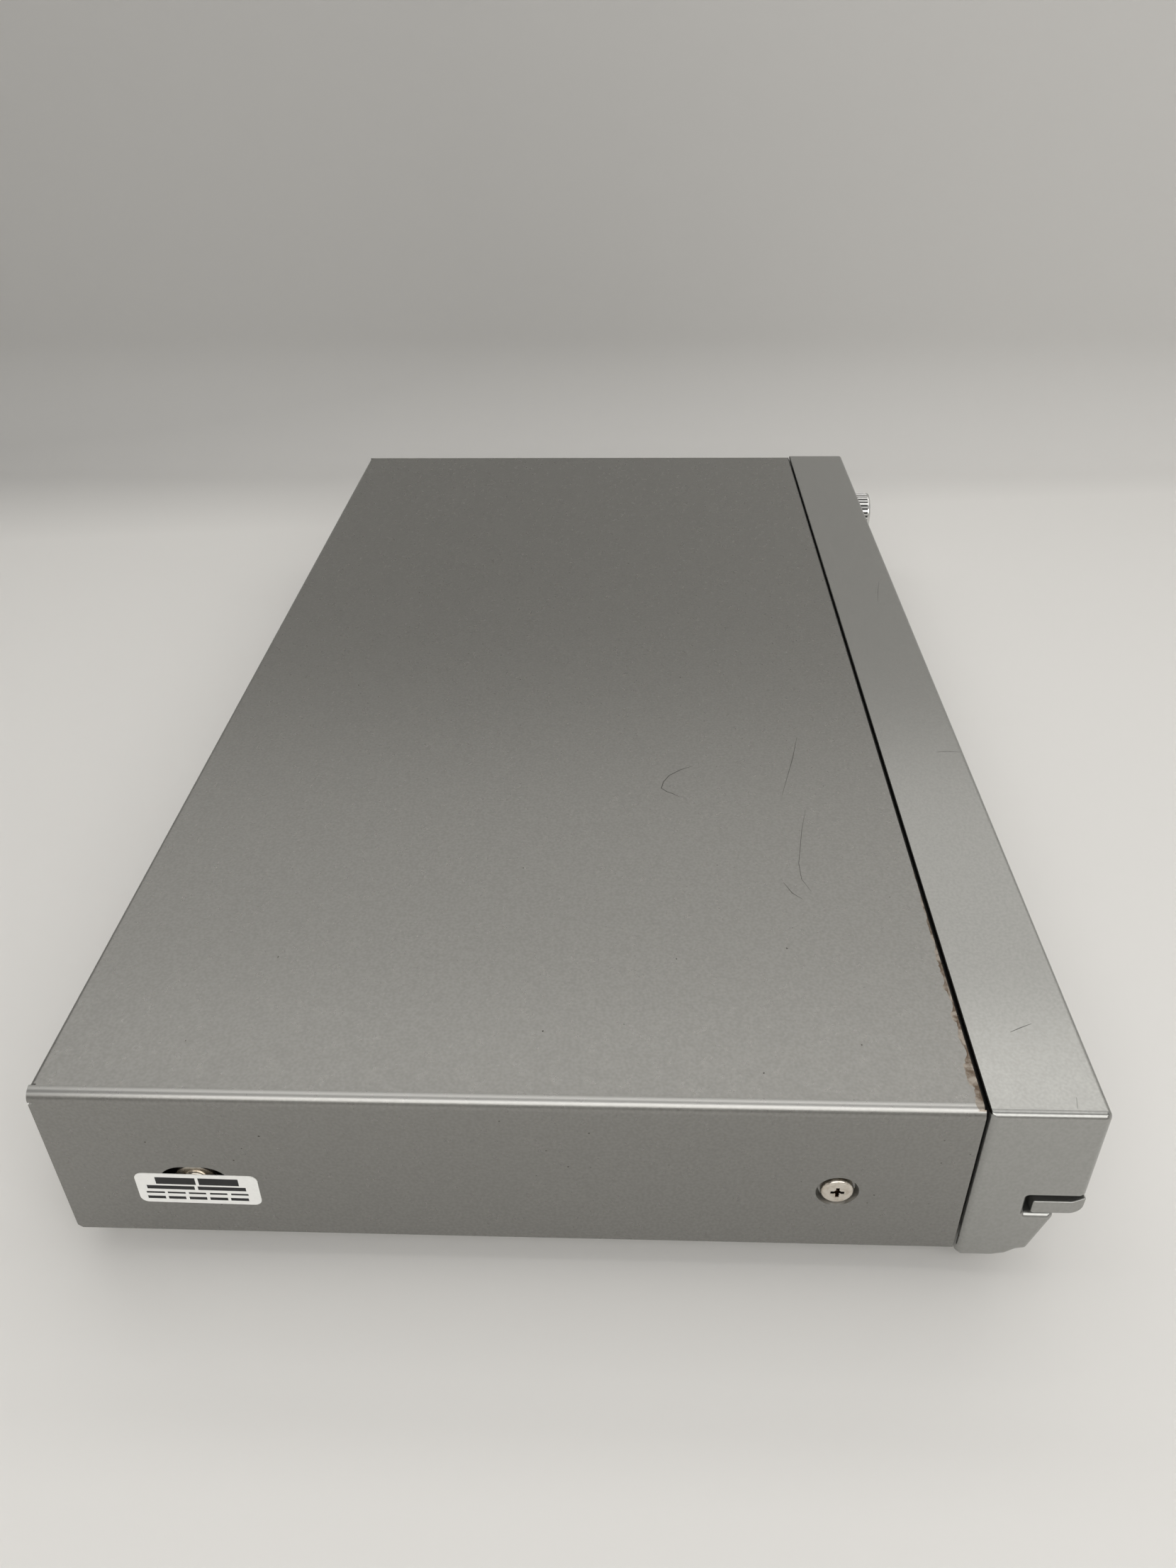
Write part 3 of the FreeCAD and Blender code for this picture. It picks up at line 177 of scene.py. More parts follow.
def sheet_metal(name, color, rough, stretch=(1, 30, 30)):
    """Bare rolled or plated metal with fine streaks."""
    s = Shader(name, color, rough, metal=1.0)
    streak = s.noise(160, 4.0, stretch)
    s.base(s.mix(s.remap(streak, 0.35, 0.65), shade(color, 0.9), shade(color, 1.06)))
    s.link(s.remap(streak, 0.3, 0.7, rough * 0.85, rough * 1.2), s.bsdf.inputs["Roughness"])
    s.bump(streak, 0.00001, 0.4)
    return s.mat


# ---------------------------------------------------------------- paint
COVER_PAINT = (0.267, 0.264, 0.252)
FRONT_PAINT = (0.366, 0.367, 0.354)
BARE = (0.115, 0.085, 0.062)      # primer and old dirt where the paint has gone
# painted highlight: lighter colour for the upper half of the cover's bends
BEND_HIGHLIGHT_PAINT = (0.455, 0.450, 0.435)
SEAM_SHADE_BLACK = (0.006, 0.005, 0.004)     # painted shade: near-black band that darkens and widens the seam line
FLAKE = 1350                      # grains of metal flake per metre
LACQUER_METAL = 0.88              # how far the lacquers shine like bare metal
TOP_BAND = 48.9                   # the seam's top part starts at this height


def place_axis(s, letter, value):
    """Distance along one axis from a value of the drawing frame, in metres; positive beyond it."""
    shift = {"X": 0.0, "Y": SEAM_SHIFT, "Z": FOOT_H}[letter]
    return s.math("SUBTRACT", s.axis(letter), (value + shift) * MM)


def round_mask(s, y, z, r):
    """Mask of all that lies within a radius of a line along X, seen from the side."""
    dy, dz = place_axis(s, "Y", y), place_axis(s, "Z", z)
    square = s.math("ADD", s.math("MULTIPLY", dy, dy), s.math("MULTIPLY", dz, dz))
    return s.math("LESS_THAN", square, (r * MM) ** 2)


def pocket_mask(s):
    """Mask of the oval pressings round the rear side screws, seen from the side."""
    y, z = SIDE_SCREW_REAR
    long = s.math("LESS_THAN", s.math("ABSOLUTE", place_axis(s, "Y", y)), 9.6 * MM)
    tall = s.math("LESS_THAN", s.math("ABSOLUTE", place_axis(s, "Z", z)), 7.1 * MM)
    return s.math("MULTIPLY", long, tall)


def seam_wear(s):
    """Mask of paint rubbed off the cover beside the seam, ragged and wider towards the left end."""
    edge = place_axis(s, "Y", 0.15)
    width = s.remap(s.axis("X"), -0.110, -0.212, 0.00012, 0.0027)
    ragged = s.math("MULTIPLY", width, s.remap(s.noise(210, 6.0), 0.36, 0.62, 0.35, 1.0))
    near_top = s.math("GREATER_THAN", place_axis(s, "Z", 48.7), 0.0)
    left_half = s.math("LESS_THAN", s.axis("X"), -0.02)
    worn = s.math("LESS_THAN", edge, ragged)
    return s.math("MULTIPLY", s.math("MULTIPLY", worn, near_top), left_half)


def seam_shade(s, low, high):
    """Mask of the painted shade along the top of the seam, between two levels of Y."""
    inside = s.math("MULTIPLY", s.math("GREATER_THAN", place_axis(s, "Y", low), 0.0),
                    s.math("LESS_THAN", place_axis(s, "Y", high), 0.0))
    return s.math("MULTIPLY", inside, s.math("GREATER_THAN", place_axis(s, "Z", TOP_BAND), 0.0))


def painted_bend_highlight(s):
    """Mask of the upper half of both bends, where a lighter colour is painted as a highlight."""
    out = s.remap(s.math("ABSOLUTE", s.axis("X")), 0.2121, 0.2129)
    return s.math("MULTIPLY", out, s.remap(place_axis(s, "Z", 48.3), 0.0, 0.0007))


def cover_paint():
    """Metallic lacquer on steel: fine flake, worn along the seam, with a painted highlight on the bends,
    painted shade along the seam and painted shade with dirt in the oval pressings.
    """
    s = Shader("cover_paint", COVER_PAINT, 0.29, metal=LACQUER_METAL)
    flake = s.remap(s.noise(FLAKE, 0.0), 0.25, 0.75)
    strong = s.mix(flake, shade(COVER_PAINT, 0.93), shade(COVER_PAINT, 1.07))
    faint = s.mix(flake, shade(COVER_PAINT, 0.95), shade(COVER_PAINT, 1.05))
    cloud = s.remap(s.noise(9, 3.0), 0.3, 0.7)
    paint = s.mix(cloud, strong, faint)
    bare = s.mix(s.remap(s.noise(420, 3.0), 0.42, 0.60), BARE, (0.300, 0.268, 0.232))
    offset = s.math("ABSOLUTE", s.axis("X"))
    pressed = s.math("LESS_THAN", offset, 0.21472)
    side = s.math("GREATER_THAN", offset, 0.2115)
    pit = s.math("MULTIPLY", s.math("MULTIPLY", pocket_mask(s), pressed), side)
    # painted highlight: lighter colour on the upper half of both bends
    paint = s.mix(painted_bend_highlight(s), paint, BEND_HIGHLIGHT_PAINT)
    paint = s.mix(seam_wear(s), paint, bare)
    # painted shade: near-black band along the seam on the cover's top
    paint = s.mix(seam_shade(s, -1.0, 0.5), paint, SEAM_SHADE_BLACK)
    # painted shade with dirt: near-black in the oval pressings round the rear screws
    s.base(s.mix(pit, paint, (0.020, 0.017, 0.015)))
    s.roughen(500, 0.27, 0.31)
    s.bump(s.noise(FLAKE, 0.0), 0.00001, 0.06)
    return s.mat


def front_paint(name, color=FRONT_PAINT, rough=0.22, chips_and_seam_shade=False):
    """Silver lacquer on plastic, smoother than the cover's; its last flag adds chips at the rear edge and
    painted shade along the seam.
    """
    s = Shader(name, color, rough, metal=LACQUER_METAL)
    paint = s.speckle(FLAKE, 0.04, 0.0)
    if chips_and_seam_shade:
        edge = s.math("GREATER_THAN", place_axis(s, "Y", -0.80), 0.0)
        spots = s.math("GREATER_THAN", s.noise(150, 3.0), 0.66)
        near = s.math("LESS_THAN", s.axis("X"), -0.10)
        paint = s.mix(s.math("MULTIPLY", s.math("MULTIPLY", edge, spots), near), paint, BARE)
        # painted shade: near-black band along the seam on the moulding's top
        paint = s.mix(seam_shade(s, -0.85, 1.0), paint, SEAM_SHADE_BLACK)
    s.base(paint)
    s.roughen(300, rough * 0.95, rough * 1.06)
    s.bump(s.noise(FLAKE, 0.0), 0.00001, 0.06)
    return s.mat


def screw_nickel():
    """Nickel plate gone slightly yellow, with painted shade and old dirt in the driver recess of the side
    screws.
    """
    color = (0.72, 0.67, 0.60)
    s = Shader("nickel_screw", color, 0.26, metal=1.0)
    stain = s.remap(s.noise(700, 3.0), 0.45, 0.65)
    plate = s.mix(stain, color, (0.60, 0.54, 0.46))
    offset = s.math("ABSOLUTE", s.axis("X"))
    recesses = []
    for (y, z), head_face in ((SIDE_SCREW_FRONT, 0.21505), (SIDE_SCREW_REAR, 0.21475)):
        below = s.math("LESS_THAN", offset, head_face)
        recesses.append(s.math("MULTIPLY", round_mask(s, y, z, 2.0), below))
    # painted shade and old dirt: dark brown in the driver recesses
    s.base(s.mix(s.math("ADD", *recesses), plate, (0.055, 0.035, 0.022)))
    s.roughen(400, 0.22, 0.34)
    return s.mat


def dial_chrome():
    """Satin chrome with painted shade in the dial's grooves, which lie just inside its rim."""
    color = (0.66, 0.66, 0.65)
    s = Shader("dial_chrome", color, 0.18, metal=1.0)
    dx, dz = place_axis(s, "X", KNOB_X), place_axis(s, "Z", KNOB_Z)
    square = s.math("ADD", s.math("MULTIPLY", dx, dx), s.math("MULTIPLY", dz, dz))
    inside = s.math("LESS_THAN", square, (9.52 * MM) ** 2)
    behind = s.math("GREATER_THAN", place_axis(s, "Y", -35.0), 0.0)
    # painted shade: dark colour in the grooves inside the rim
    s.base(s.mix(s.math("MULTIPLY", inside, behind), s.speckle(900, 0.05), (0.050, 0.050, 0.048)))
    s.roughen(300, 0.15, 0.22)
    return s.mat


def circuit(name, color, trace):
    """Solder mask over copper: a broken grid of tracks under the lacquer."""
    s = Shader(name, color, 0.32, Coat_Weight=0.3)
    brick = s.node("ShaderNodeTexBrick")
    brick.inputs["Scale"].default_value = 260
    brick.inputs["Mortar Size"].default_value = 0.06
    s.link(s.coord, brick.inputs["Vector"])
    lines = s.math("MULTIPLY", brick.outputs["Fac"], s.remap(s.noise(55, 2.0), 0.48, 0.52))
    s.base(s.mix(lines, s.speckle(80, 0.12), trace))
    s.bump(lines, 0.00004, 0.5)
    return s.mat


def glossy(name, color, rough, **sockets):
    """Smooth plastic or glass."""
    s = Shader(name, color, rough, **sockets)
    s.roughen(90, rough, rough + 0.06)
    s.base(s.speckle(40, 0.05))
    return s.mat


def printed(name, color, rough=0.6, mottle=0.12):
    """Paper, ink or dirt: dull and slightly uneven."""
    s = Shader(name, color, rough)
    s.base(s.speckle(900, mottle))
    return s.mat


MATERIALS = {
    "cover": cover_paint(),
    "front": front_paint("front_paint", chips_and_seam_shade=True),
    "key": front_paint("key_paint", (0.55, 0.55, 0.545), 0.34),
    "zinc": sheet_metal("zinc_sheet", (0.62, 0.62, 0.61), 0.34),
    "nickel": screw_nickel(),
    "plated": sheet_metal("jack_nickel", (0.74, 0.72, 0.67), 0.20),
    "steel": sheet_metal("bright_steel", (0.70, 0.70, 0.70), 0.22),
    "chrome": dial_chrome(),
    "rubber": moulded("foot_rubber", (0.018, 0.018, 0.018), 0.75, 900),
    "paper": printed("seal_paper", (0.90, 0.90, 0.88), 0.48, 0.02),
    "ink": printed("seal_ink", (0.012, 0.012, 0.013)),
    "black": moulded("black_plastic", (0.018, 0.018, 0.019), 0.42),
    "tray": moulded("tray_plastic", (0.030, 0.030, 0.032), 0.50, 700),
    "nylon": moulded("gear_nylon", (0.80, 0.77, 0.68), 0.40),
    "window": glossy("smoked_window", (0.010, 0.011, 0.014), 0.05, Coat_Weight=1.0),
    "tube": glossy("display_tube", (0.03, 0.05, 0.05), 0.08, Coat_Weight=0.6),
    "board": circuit("circuit_green", (0.02, 0.13, 0.055), (0.09, 0.27, 0.11)),
    "laminate": circuit("supply_laminate", (0.40, 0.27, 0.11), (0.52, 0.38, 0.20)),
    "chip": moulded("chip_resin", (0.022, 0.022, 0.024), 0.55, 2600),
    "anodised": sheet_metal("black_aluminium", (0.05, 0.05, 0.052), 0.38),
    "alloy": sheet_metal("cast_alloy", (0.52, 0.52, 0.53), 0.42, (20, 20, 20)),
    "ferrite": moulded("ferrite_core", (0.055, 0.055, 0.06), 0.60, 1100, 0.00006),
    "sleeve": glossy("can_sleeve", (0.015, 0.022, 0.07), 0.22),
    "gold": sheet_metal("gold_plate", (0.86, 0.62, 0.25), 0.22),
    "white": moulded("white_insulator", (0.78, 0.77, 0.73), 0.38),
    "red": moulded("red_insulator", (0.50, 0.02, 0.018), 0.36),
    "yellow": moulded("yellow_insulator", (0.70, 0.46, 0.02), 0.36),
    "green": moulded("green_lamp", (0.10, 0.42, 0.10), 0.30),
    "blue": moulded("blue_insulator", (0.02, 0.07, 0.32), 0.38),
    "silk": printed("silk_screen", (0.70, 0.70, 0.68)),
    "mark": printed("key_mark", (0.055, 0.055, 0.06)),
    "scratch": printed("scratch", (0.055, 0.052, 0.047), 0.5),
    "dirt": printed("dirt", (0.040, 0.034, 0.028), 0.7),
}

NODE_LOOKS = {
    "cover": ["top_cover"],
    "front": ["front_fascia", "front_door", "tray_front"],
    "key": ["power_button", "eject_button", "play_button", "pause_button", "stop_button",
            "rewind_button", "forward_button", "record_button"],
    "zinc": ["base_chassis", "rear_panel", "disk_bracket", "drive_cover"],
    "nickel": ["cover_screws", "foot_screws"],
    "plated": ["bnc_jacks"],
    "steel": ["door_pins", "guide_rods", "lead_screw", "encoder_shaft", "inlet_pins", "encoder_body",
              "sled_motor", "spindle_motor", "loading_motor", "lan_port", "usb_ports", "vga_port"],
    "chrome": ["jog_dial"],
    "rubber": ["feet"],
    "paper": ["seal_sticker"],
    "black": ["socket_panel", "tact_switches", "drive_frame", "ac_inlet", "fan_frame", "fan_rotor",
              "laser_sled", "turntable", "disc_clamper", "audio_jacks", "front_av_jacks"],
    "tray": ["disc_tray"],
    "nylon": ["loading_gear", "motor_pinion"],
    "window": ["display_window"],
    "tube": ["display_module"],
    "board": ["display_board", "left_key_board", "main_board"],
    "laminate": ["supply_board"],
    "chip": ["board_chips"],
    "anodised": ["chip_heatsink", "supply_heatsink"],
    "alloy": ["hard_disk"],
    "ferrite": ["transformer"],
    "sleeve": ["capacitors"],
}


def dress_nodes():
    """Gives every CAD node its material."""
    for look, names in NODE_LOOKS.items():
        for name in names:
            mesh = nodes[name].data
            mesh.materials.clear()
            mesh.materials.append(MATERIALS[look])


# ---------------------------------------------------------------- mesh helpers
def finish_piece(name, mesh, look, body, smooth_angle=40.0, bevel=0.0):
    """Turns a bmesh into a piece with its material and body."""
    bmesh.ops.remove_doubles(mesh, verts=mesh.verts, dist=1e-7)
    bmesh.ops.recalc_face_normals(mesh, faces=mesh.faces)
    data = bpy.data.meshes.new(name)
    mesh.to_mesh(data)
    mesh.free()
    obj = bpy.data.objects.new(name, data)
    bpy.context.scene.collection.objects.link(obj)
    data.materials.append(MATERIALS[look])
    data.shade_smooth()
    data.set_sharp_from_angle(angle=math.radians(smooth_angle))
    if bevel:
        modifier = obj.modifiers.new("edge", "BEVEL")
        modifier.width = bevel * MM
        modifier.segments = 2
        modifier.limit_method = "ANGLE"
    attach(obj, body)
    return obj


def add_prism(mesh, outline, low, high, axis="y"):
    """Closed prism: the outline's two numbers are the other two coordinates in X, Y, Z order, in mm."""
    def point(p, level):
        if axis == "x":
            return at(level, p[0], p[1])
        if axis == "y":
            return at(p[0], level, p[1])
        return at(p[0], p[1], level)
    bottom = [mesh.verts.new(point(p, low)) for p in outline]
    top = [mesh.verts.new(point(p, high)) for p in outline]
    mesh.faces.new(bottom)
    mesh.faces.new(top)
    for i in range(len(outline)):
        j = (i + 1) % len(outline)
        mesh.faces.new((bottom[i], bottom[j], top[j], top[i]))


def add_block(mesh, x0, x1, y0, y1, z0, z1):
    """Closed box, in mm."""
    add_prism(mesh, [(x0, y0), (x1, y0), (x1, y1), (x0, y1)], z0, z1, "z")


def ring_points(x, z, r, count=32, start=0.0, span=2 * math.pi):
    """Points of a circle or of an arc of it."""
    return [(x + r * math.cos(start + span * i / count), z + r * math.sin(start + span * i / count))
            for i in range(count)]


def add_lathe(mesh, x, z, profile, count=40):
    """Closed ring-shaped or solid form: profile points (radius, y) turned about the Y axis through (x, z)."""
    rings = []
    for r, y in profile:
        if r < 1e-6:
            rings.append([mesh.verts.new(at(x, y, z))])
        else:
            rings.append([mesh.verts.new(at(px, y, pz)) for px, pz in ring_points(x, z, r, count)])
    closed = profile[0][0] > 1e-6 and profile[-1][0] > 1e-6
    pairs = list(zip(rings, rings[1:])) + ([(rings[-1], rings[0])] if closed else [])
    for a, b in pairs:
        for i in range(count):
            j = (i + 1) % count
            if len(a) == 1:
                mesh.faces.new((a[0], b[j], b[i]))
            elif len(b) == 1:
                mesh.faces.new((a[i], a[j], b[0]))
            else:
                mesh.faces.new((a[i], a[j], b[j], b[i]))


# ---------------------------------------------------------------- rear sockets
VIDEO_JACKS = [(x, z) for x in (-196, -178, -160, -142, -118) for z in (13.4, 29.0)]
AUDIO_JACKS = [(-96, 28, "white"), (-81, 28, "white"), (-96, 13, "red"), (-81, 13, "red")]
FRONT_JACKS = [(96, 10.6, "yellow"), (111, 10.6, "white"), (126, 10.6, "red")]


def video_jacks():
    """Bayonet sockets: nickel collar with two lugs, hex nut, white insulator and gold contact."""
    y = PANEL_Y
    shells, nuts, cores, pins, blocks = (bmesh.new() for _ in range(5))
    for x, z in VIDEO_JACKS:
        add_lathe(shells, x, z, [(4.8, y + 1.6), (4.8, y + 9.2), (4.65, y + 9.5), (4.65, y + 10.2),
                                 (4.4, y + 10.6), (4.1, y + 10.4), (4.1, y + 1.6)])
        for side in (-1, 1):
            lug = [(x + side * 4.6, z - 0.9), (x + side * 5.3, z - 0.9), (x + side * 5.3, z + 0.9),
                   (x + side * 4.6, z + 0.9)]
            add_prism(shells, lug, y + 6.7, y + 8.5)
        nut = ring_points(x, z, 6.0, 6, math.pi / 6)
        add_prism(nuts, nut, y + 0.02, y + 1.7)
        add_lathe(nuts, x, z, [(4.85, y + 1.6), (4.85, y + 3.0), (5.15, y + 2.6), (5.15, y + 1.6)])
        add_lathe(cores, x, z, [(0.75, y + 1.6), (0.75, y + 9.4), (1.6, y + 9.6), (2.35, y + 9.3),
                                (2.35, y + 4.0), (4.1, y + 3.6), (4.1, y + 1.6)], 28)
        add_lathe(pins, x, z, [(0.42, y + 2.0), (0.42, y + 9.5), (0.72, y + 9.5), (0.72, y + 2.0)], 16)
        add_block(blocks, x - 6.3, x + 6.3, y - 14, y - 1.02, z - 6.3, z + 6.3)
    first = finish_piece("video_jack_shells", shells, "plated", "case")
    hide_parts("bnc_jacks")
    finish_piece("video_jack_nuts", nuts, "plated", "case", bevel=0.15)
    finish_piece("video_jack_insulators", cores, "white", "case")
    finish_piece("video_jack_contacts", pins, "gold", "case")
    finish_piece("video_jack_blocks", blocks, "black", "case", bevel=0.3)


def phono_jacks(prefix, node, places, y_face, y_panel, y_back):
    """Phono sockets: metal collar, coloured insulator with its bore, body behind the panel."""
    sign = 1 if y_panel > y_face else -1
    collars, blocks = bmesh.new(), bmesh.new()
    colours = {}
    for x, z, colour in places:
        add_lathe(collars, x, z, [(3.55, y_face + sign * 0.3), (3.8, y_face), (4.0, y_face + sign * 0.2),
                                  (4.1, y_face + sign * 0.5), (4.1, y_panel + sign * 0.6),
                                  (3.55, y_panel + sign * 0.6)])
        core = colours.setdefault(colour, bmesh.new())
        add_lathe(core, x, z, [(1.7, y_face + sign * 6), (1.7, y_face + sign * 0.9),
                               (1.9, y_face + sign * 0.6), (3.55, y_face + sign * 0.6),
                               (3.55, y_face + sign * 6)])
        add_lathe(core, x, z, [(4.12, y_panel - sign * 0.6), (4.8, y_panel - sign * 0.6),
                               (4.95, y_panel - sign * 0.45), (4.95, y_panel + sign * 1.9),
                               (4.12, y_panel + sign * 1.9)])
        low, high = sorted((y_panel + sign * 2.02, y_back))
        add_block(blocks, x - 5.2, x + 5.2, low, high, z - 5.2, z + 5.2)
    first = finish_piece(prefix + "_collars", collars, "steel", "case")
    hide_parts(node)
    for colour, core in colours.items():
        finish_piece(prefix + "_core_" + colour, core, colour, "case")
    finish_piece(prefix + "_blocks", blocks, "black", "case", bevel=0.3)


def screen_outlines():
    """Plain printed frames around the socket groups on the rear panel; no lettering."""
    mesh = bmesh.new()
    y0, y1 = PANEL_Y + 0.005, PANEL_Y + 0.045
    z0, z1 = 9.0, 37.0
    line = 0.4
    for x0, x1 in ((-206.5, -133.5), (-127.5, -108.5), (-104.5, -72.5)):
        add_block(mesh, x0, x1, y0, y1, z0, z0 + line)
        add_block(mesh, x0, x1, y0, y1, z1 - line, z1)
        add_block(mesh, x0, x0 + line, y0, y1, z0, z1)
        add_block(mesh, x1 - line, x1, y0, y1, z0, z1)
    for x, z in VIDEO_JACKS[:8]:
        add_block(mesh, x - 3.0, x + 3.0, y0, y1, z + 7.0, z + 7.35)
    finish_piece("rear_print", mesh, "silk", "case")


# ---------------------------------------------------------------- marks on the front
KEY_FACE = -28.2        # Y of the keys' front faces
KEYS = {
    "play_button": (122, 40.2), "pause_button": (138, 40.2), "stop_button": (154, 40.2),
    "rewind_button": (122, 31.0), "forward_button": (138, 31.0), "record_button": (154, 31.0),
    "eject_button": (-163, 36.0), "power_button": (-188, 36.0),
}


def mark_outlines(key):
    """Outlines of a key's usual symbol about (0, 0), in mm."""
    if key == "play_button":
        return [[(-1.1, -1.5), (1.6, 0), (-1.1, 1.5)]]
    if key == "pause_button":
        return [[(-1.3, -1.4), (-0.4, -1.4), (-0.4, 1.4), (-1.3, 1.4)],
                [(0.4, -1.4), (1.3, -1.4), (1.3, 1.4), (0.4, 1.4)]]
    if key == "stop_button":
        return [[(-1.3, -1.3), (1.3, -1.3), (1.3, 1.3), (-1.3, 1.3)]]
    if key == "rewind_button":
        return [[(0.0, -1.3), (0.0, 1.3), (-2.2, 0)], [(2.3, -1.3), (2.3, 1.3), (0.1, 0)]]
    if key == "forward_button":
        return [[(0.0, -1.3), (2.2, 0), (0.0, 1.3)], [(-2.3, -1.3), (-0.1, 0), (-2.3, 1.3)]]
    if key == "record_button":
        return [ring_points(0, 0, 1.3, 28)]
    if key == "eject_button":
        return [[(-1.7, -0.4), (1.7, -0.4), (0, 1.6)], [(-1.7, -1.5), (1.7, -1.5), (1.7, -0.9), (-1.7, -0.9)]]
    arc = ring_points(0, 0, 2.3, 30, math.radians(125), math.radians(290))
    inner = ring_points(0, 0, 1.8, 30, math.radians(125), math.radians(290))
    return [arc + inner[::-1], [(-0.25, 0.5), (0.25, 0.5), (0.25, 2.9), (-0.25, 2.9)]]


def key_marks():
    """One thin symbol on each key, which moves with it."""
    for key, (x, z) in KEYS.items():
        mesh = bmesh.new()
        for outline in mark_outlines(key):
            moved = [(x + px, z + pz) for px, pz in outline]
            add_prism(mesh, moved, KEY_FACE - 0.05, KEY_FACE + 0.05)
        look = "red" if key == "record_button" else "mark"
        finish_piece(key + "_mark", mesh, look, key + "_body")


def front_lights():
    """Standby lamp and remote-control window beside the power key."""
    lamp = bmesh.new()
    add_lathe(lamp, -176.0, 41.5, [(1.3, -27.3), (1.3, -27.6), (1.0, -27.85), (0.5, -27.98), (0, -28.0)], 24)
    finish_piece("standby_lamp", lamp, "red", "case")
    eye = bmesh.new()
    add_lathe(eye, -176.0, 31.0, [(2.2, -27.3), (2.2, -27.55), (2.0, -27.7), (0, -27.75)], 32)
    finish_piece("remote_eye", eye, "window", "case")


def dial_mark():
    """Painted pointer on the dial's cap."""
    mesh = bmesh.new()
    add_block(mesh, KNOB_X - 0.4, KNOB_X + 0.4, -36.43, -36.35, 37.2, 42.2)
    finish_piece("dial_pointer", mesh, "mark", "dial")


# ---------------------------------------------------------------- seal and wear
SEAL_CENTRE = (184.3, 16.5)     # (y, z)
SEAL_TILT = math.radians(0.9)
SEAL_ROWS = [       # height of the row, thickness of its bars, left end, right end, number of bars
    (2.9, 2.5, -10.0, 11.0, 2),
    (0.4, 1.3, -12.5, 12.5, 2),
    (-1.6, 0.6, -13.0, 13.0, 5),
    (-3.5, 1.0, -13.0, 12.6, 5),
]


def seal_point(u, v):
    """(y, z) of a point of the tilted seal; u runs towards the front and v runs up."""
    y = SEAL_CENTRE[0] - (u * math.cos(SEAL_TILT) + v * math.sin(SEAL_TILT))
    z = SEAL_CENTRE[1] + v * math.cos(SEAL_TILT) - u * math.sin(SEAL_TILT)
    return (y, z)


def seal_print():
    """Dark bars where the seal is printed, with gaps like words; no lettering."""
    mesh = bmesh.new()
    face = -COVER_SIDE - 0.205
    dice = random.Random(4)
    for height, thick, left, right, words in SEAL_ROWS:
        cuts = [left + (right - left) * i / words for i in range(words + 1)]
        for a, b in zip(cuts, cuts[1:]):
            b -= 0.7 + 0.3 * dice.random()
            low, high = height - thick / 2, height + thick / 2
            corners = [seal_point(u, v) for u, v in ((a, low), (b, low), (b, high), (a, high))]
            add_prism(mesh, corners, face - 0.02, face + 0.02, "x")
    finish_piece("seal_print", mesh, "ink", "case")


HAIR = [(-77.3, 60.5), (-79.4, 64.4), (-82.7, 68.0), (-86.3, 69.9), (-89.8, 70.6), (-91.7, 68.9),
        (-92.5, 67.4), (-94.3, 65.2)]
ARC = [(-100.5, 27.3), (-110.5, 29.5), (-126.7, 32.2), (-133.8, 32.2), (-139.3, 30.1)]
SCRATCHES = {       # points (x, y), width, height of the face it lies on
    "hair_curve": (HAIR, 0.30, COVER_TOP),
    "long_scratch": ([(-59.5, 25.4), (-72.4, 28.2), (-93.1, 33.6)], 0.26, COVER_TOP),
    "faint_arc": (ARC, 0.16, COVER_TOP),
    "short_scratch": ([(-135.4, 37.4), (-140.0, 35.4), (-142.6, 32.8)], 0.26, COVER_TOP),
    "far_scratch": ([(61.9, -21.6), (52.0, -19.5), (41.9, -17.8)], 0.14, FRONT_TOP),
    "front_scratch": ([(-68.1, -18.5), (-67.6, -22.0), (-68.0, -26.0)], 0.22, FRONT_TOP),
    "front_cut": ([(-190.8, -10.8), (-189.4, -13.4), (-187.9, -16.6)], 0.20, FRONT_TOP),
    "front_tick": ([(-210.4, -20.5), (-213.6, -19.8)], 0.20, FRONT_TOP),
}
ABOVE_PAINT = 0.012     # scratches and flecks lie this far off the face


def scratch(name, points, width, level):
    """Thin ribbon just above a horizontal face, along a run of (x, y) points, pointed at both ends."""
    mesh = bmesh.new()
    top = level + ABOVE_PAINT
    left, right = [], []
    for i, (x, y) in enumerate(points):
        ax, ay = points[max(i - 1, 0)]
        bx, by = points[min(i + 1, len(points) - 1)]
        length = math.hypot(bx - ax, by - ay)
        nx, ny = -(by - ay) / length, (bx - ax) / length
        half = width / 2 * (0.3 if i in (0, len(points) - 1) else 1.0)
        left.append(mesh.verts.new(at(x + nx * half, y + ny * half, top)))
        right.append(mesh.verts.new(at(x - nx * half, y - ny * half, top)))
    for i in range(len(points) - 1):
        mesh.faces.new((left[i], right[i], right[i + 1], left[i + 1]))
    finish_piece(name, mesh, "scratch", "case")


def add_fleck(mesh, centre, u, v, size, dice):
    """Irregular flat spot about a point; u and v are the face's own directions."""
    corners = []
    for i in range(6):
        a = math.pi * i / 3 + 0.4 * dice.random()
        r = size * (0.55 + 0.6 * dice.random())
        shift = u * (r * math.cos(a) * MM) + v * (r * 0.7 * math.sin(a) * MM)
        corners.append(mesh.verts.new(centre + shift))
    mesh.faces.new(corners)


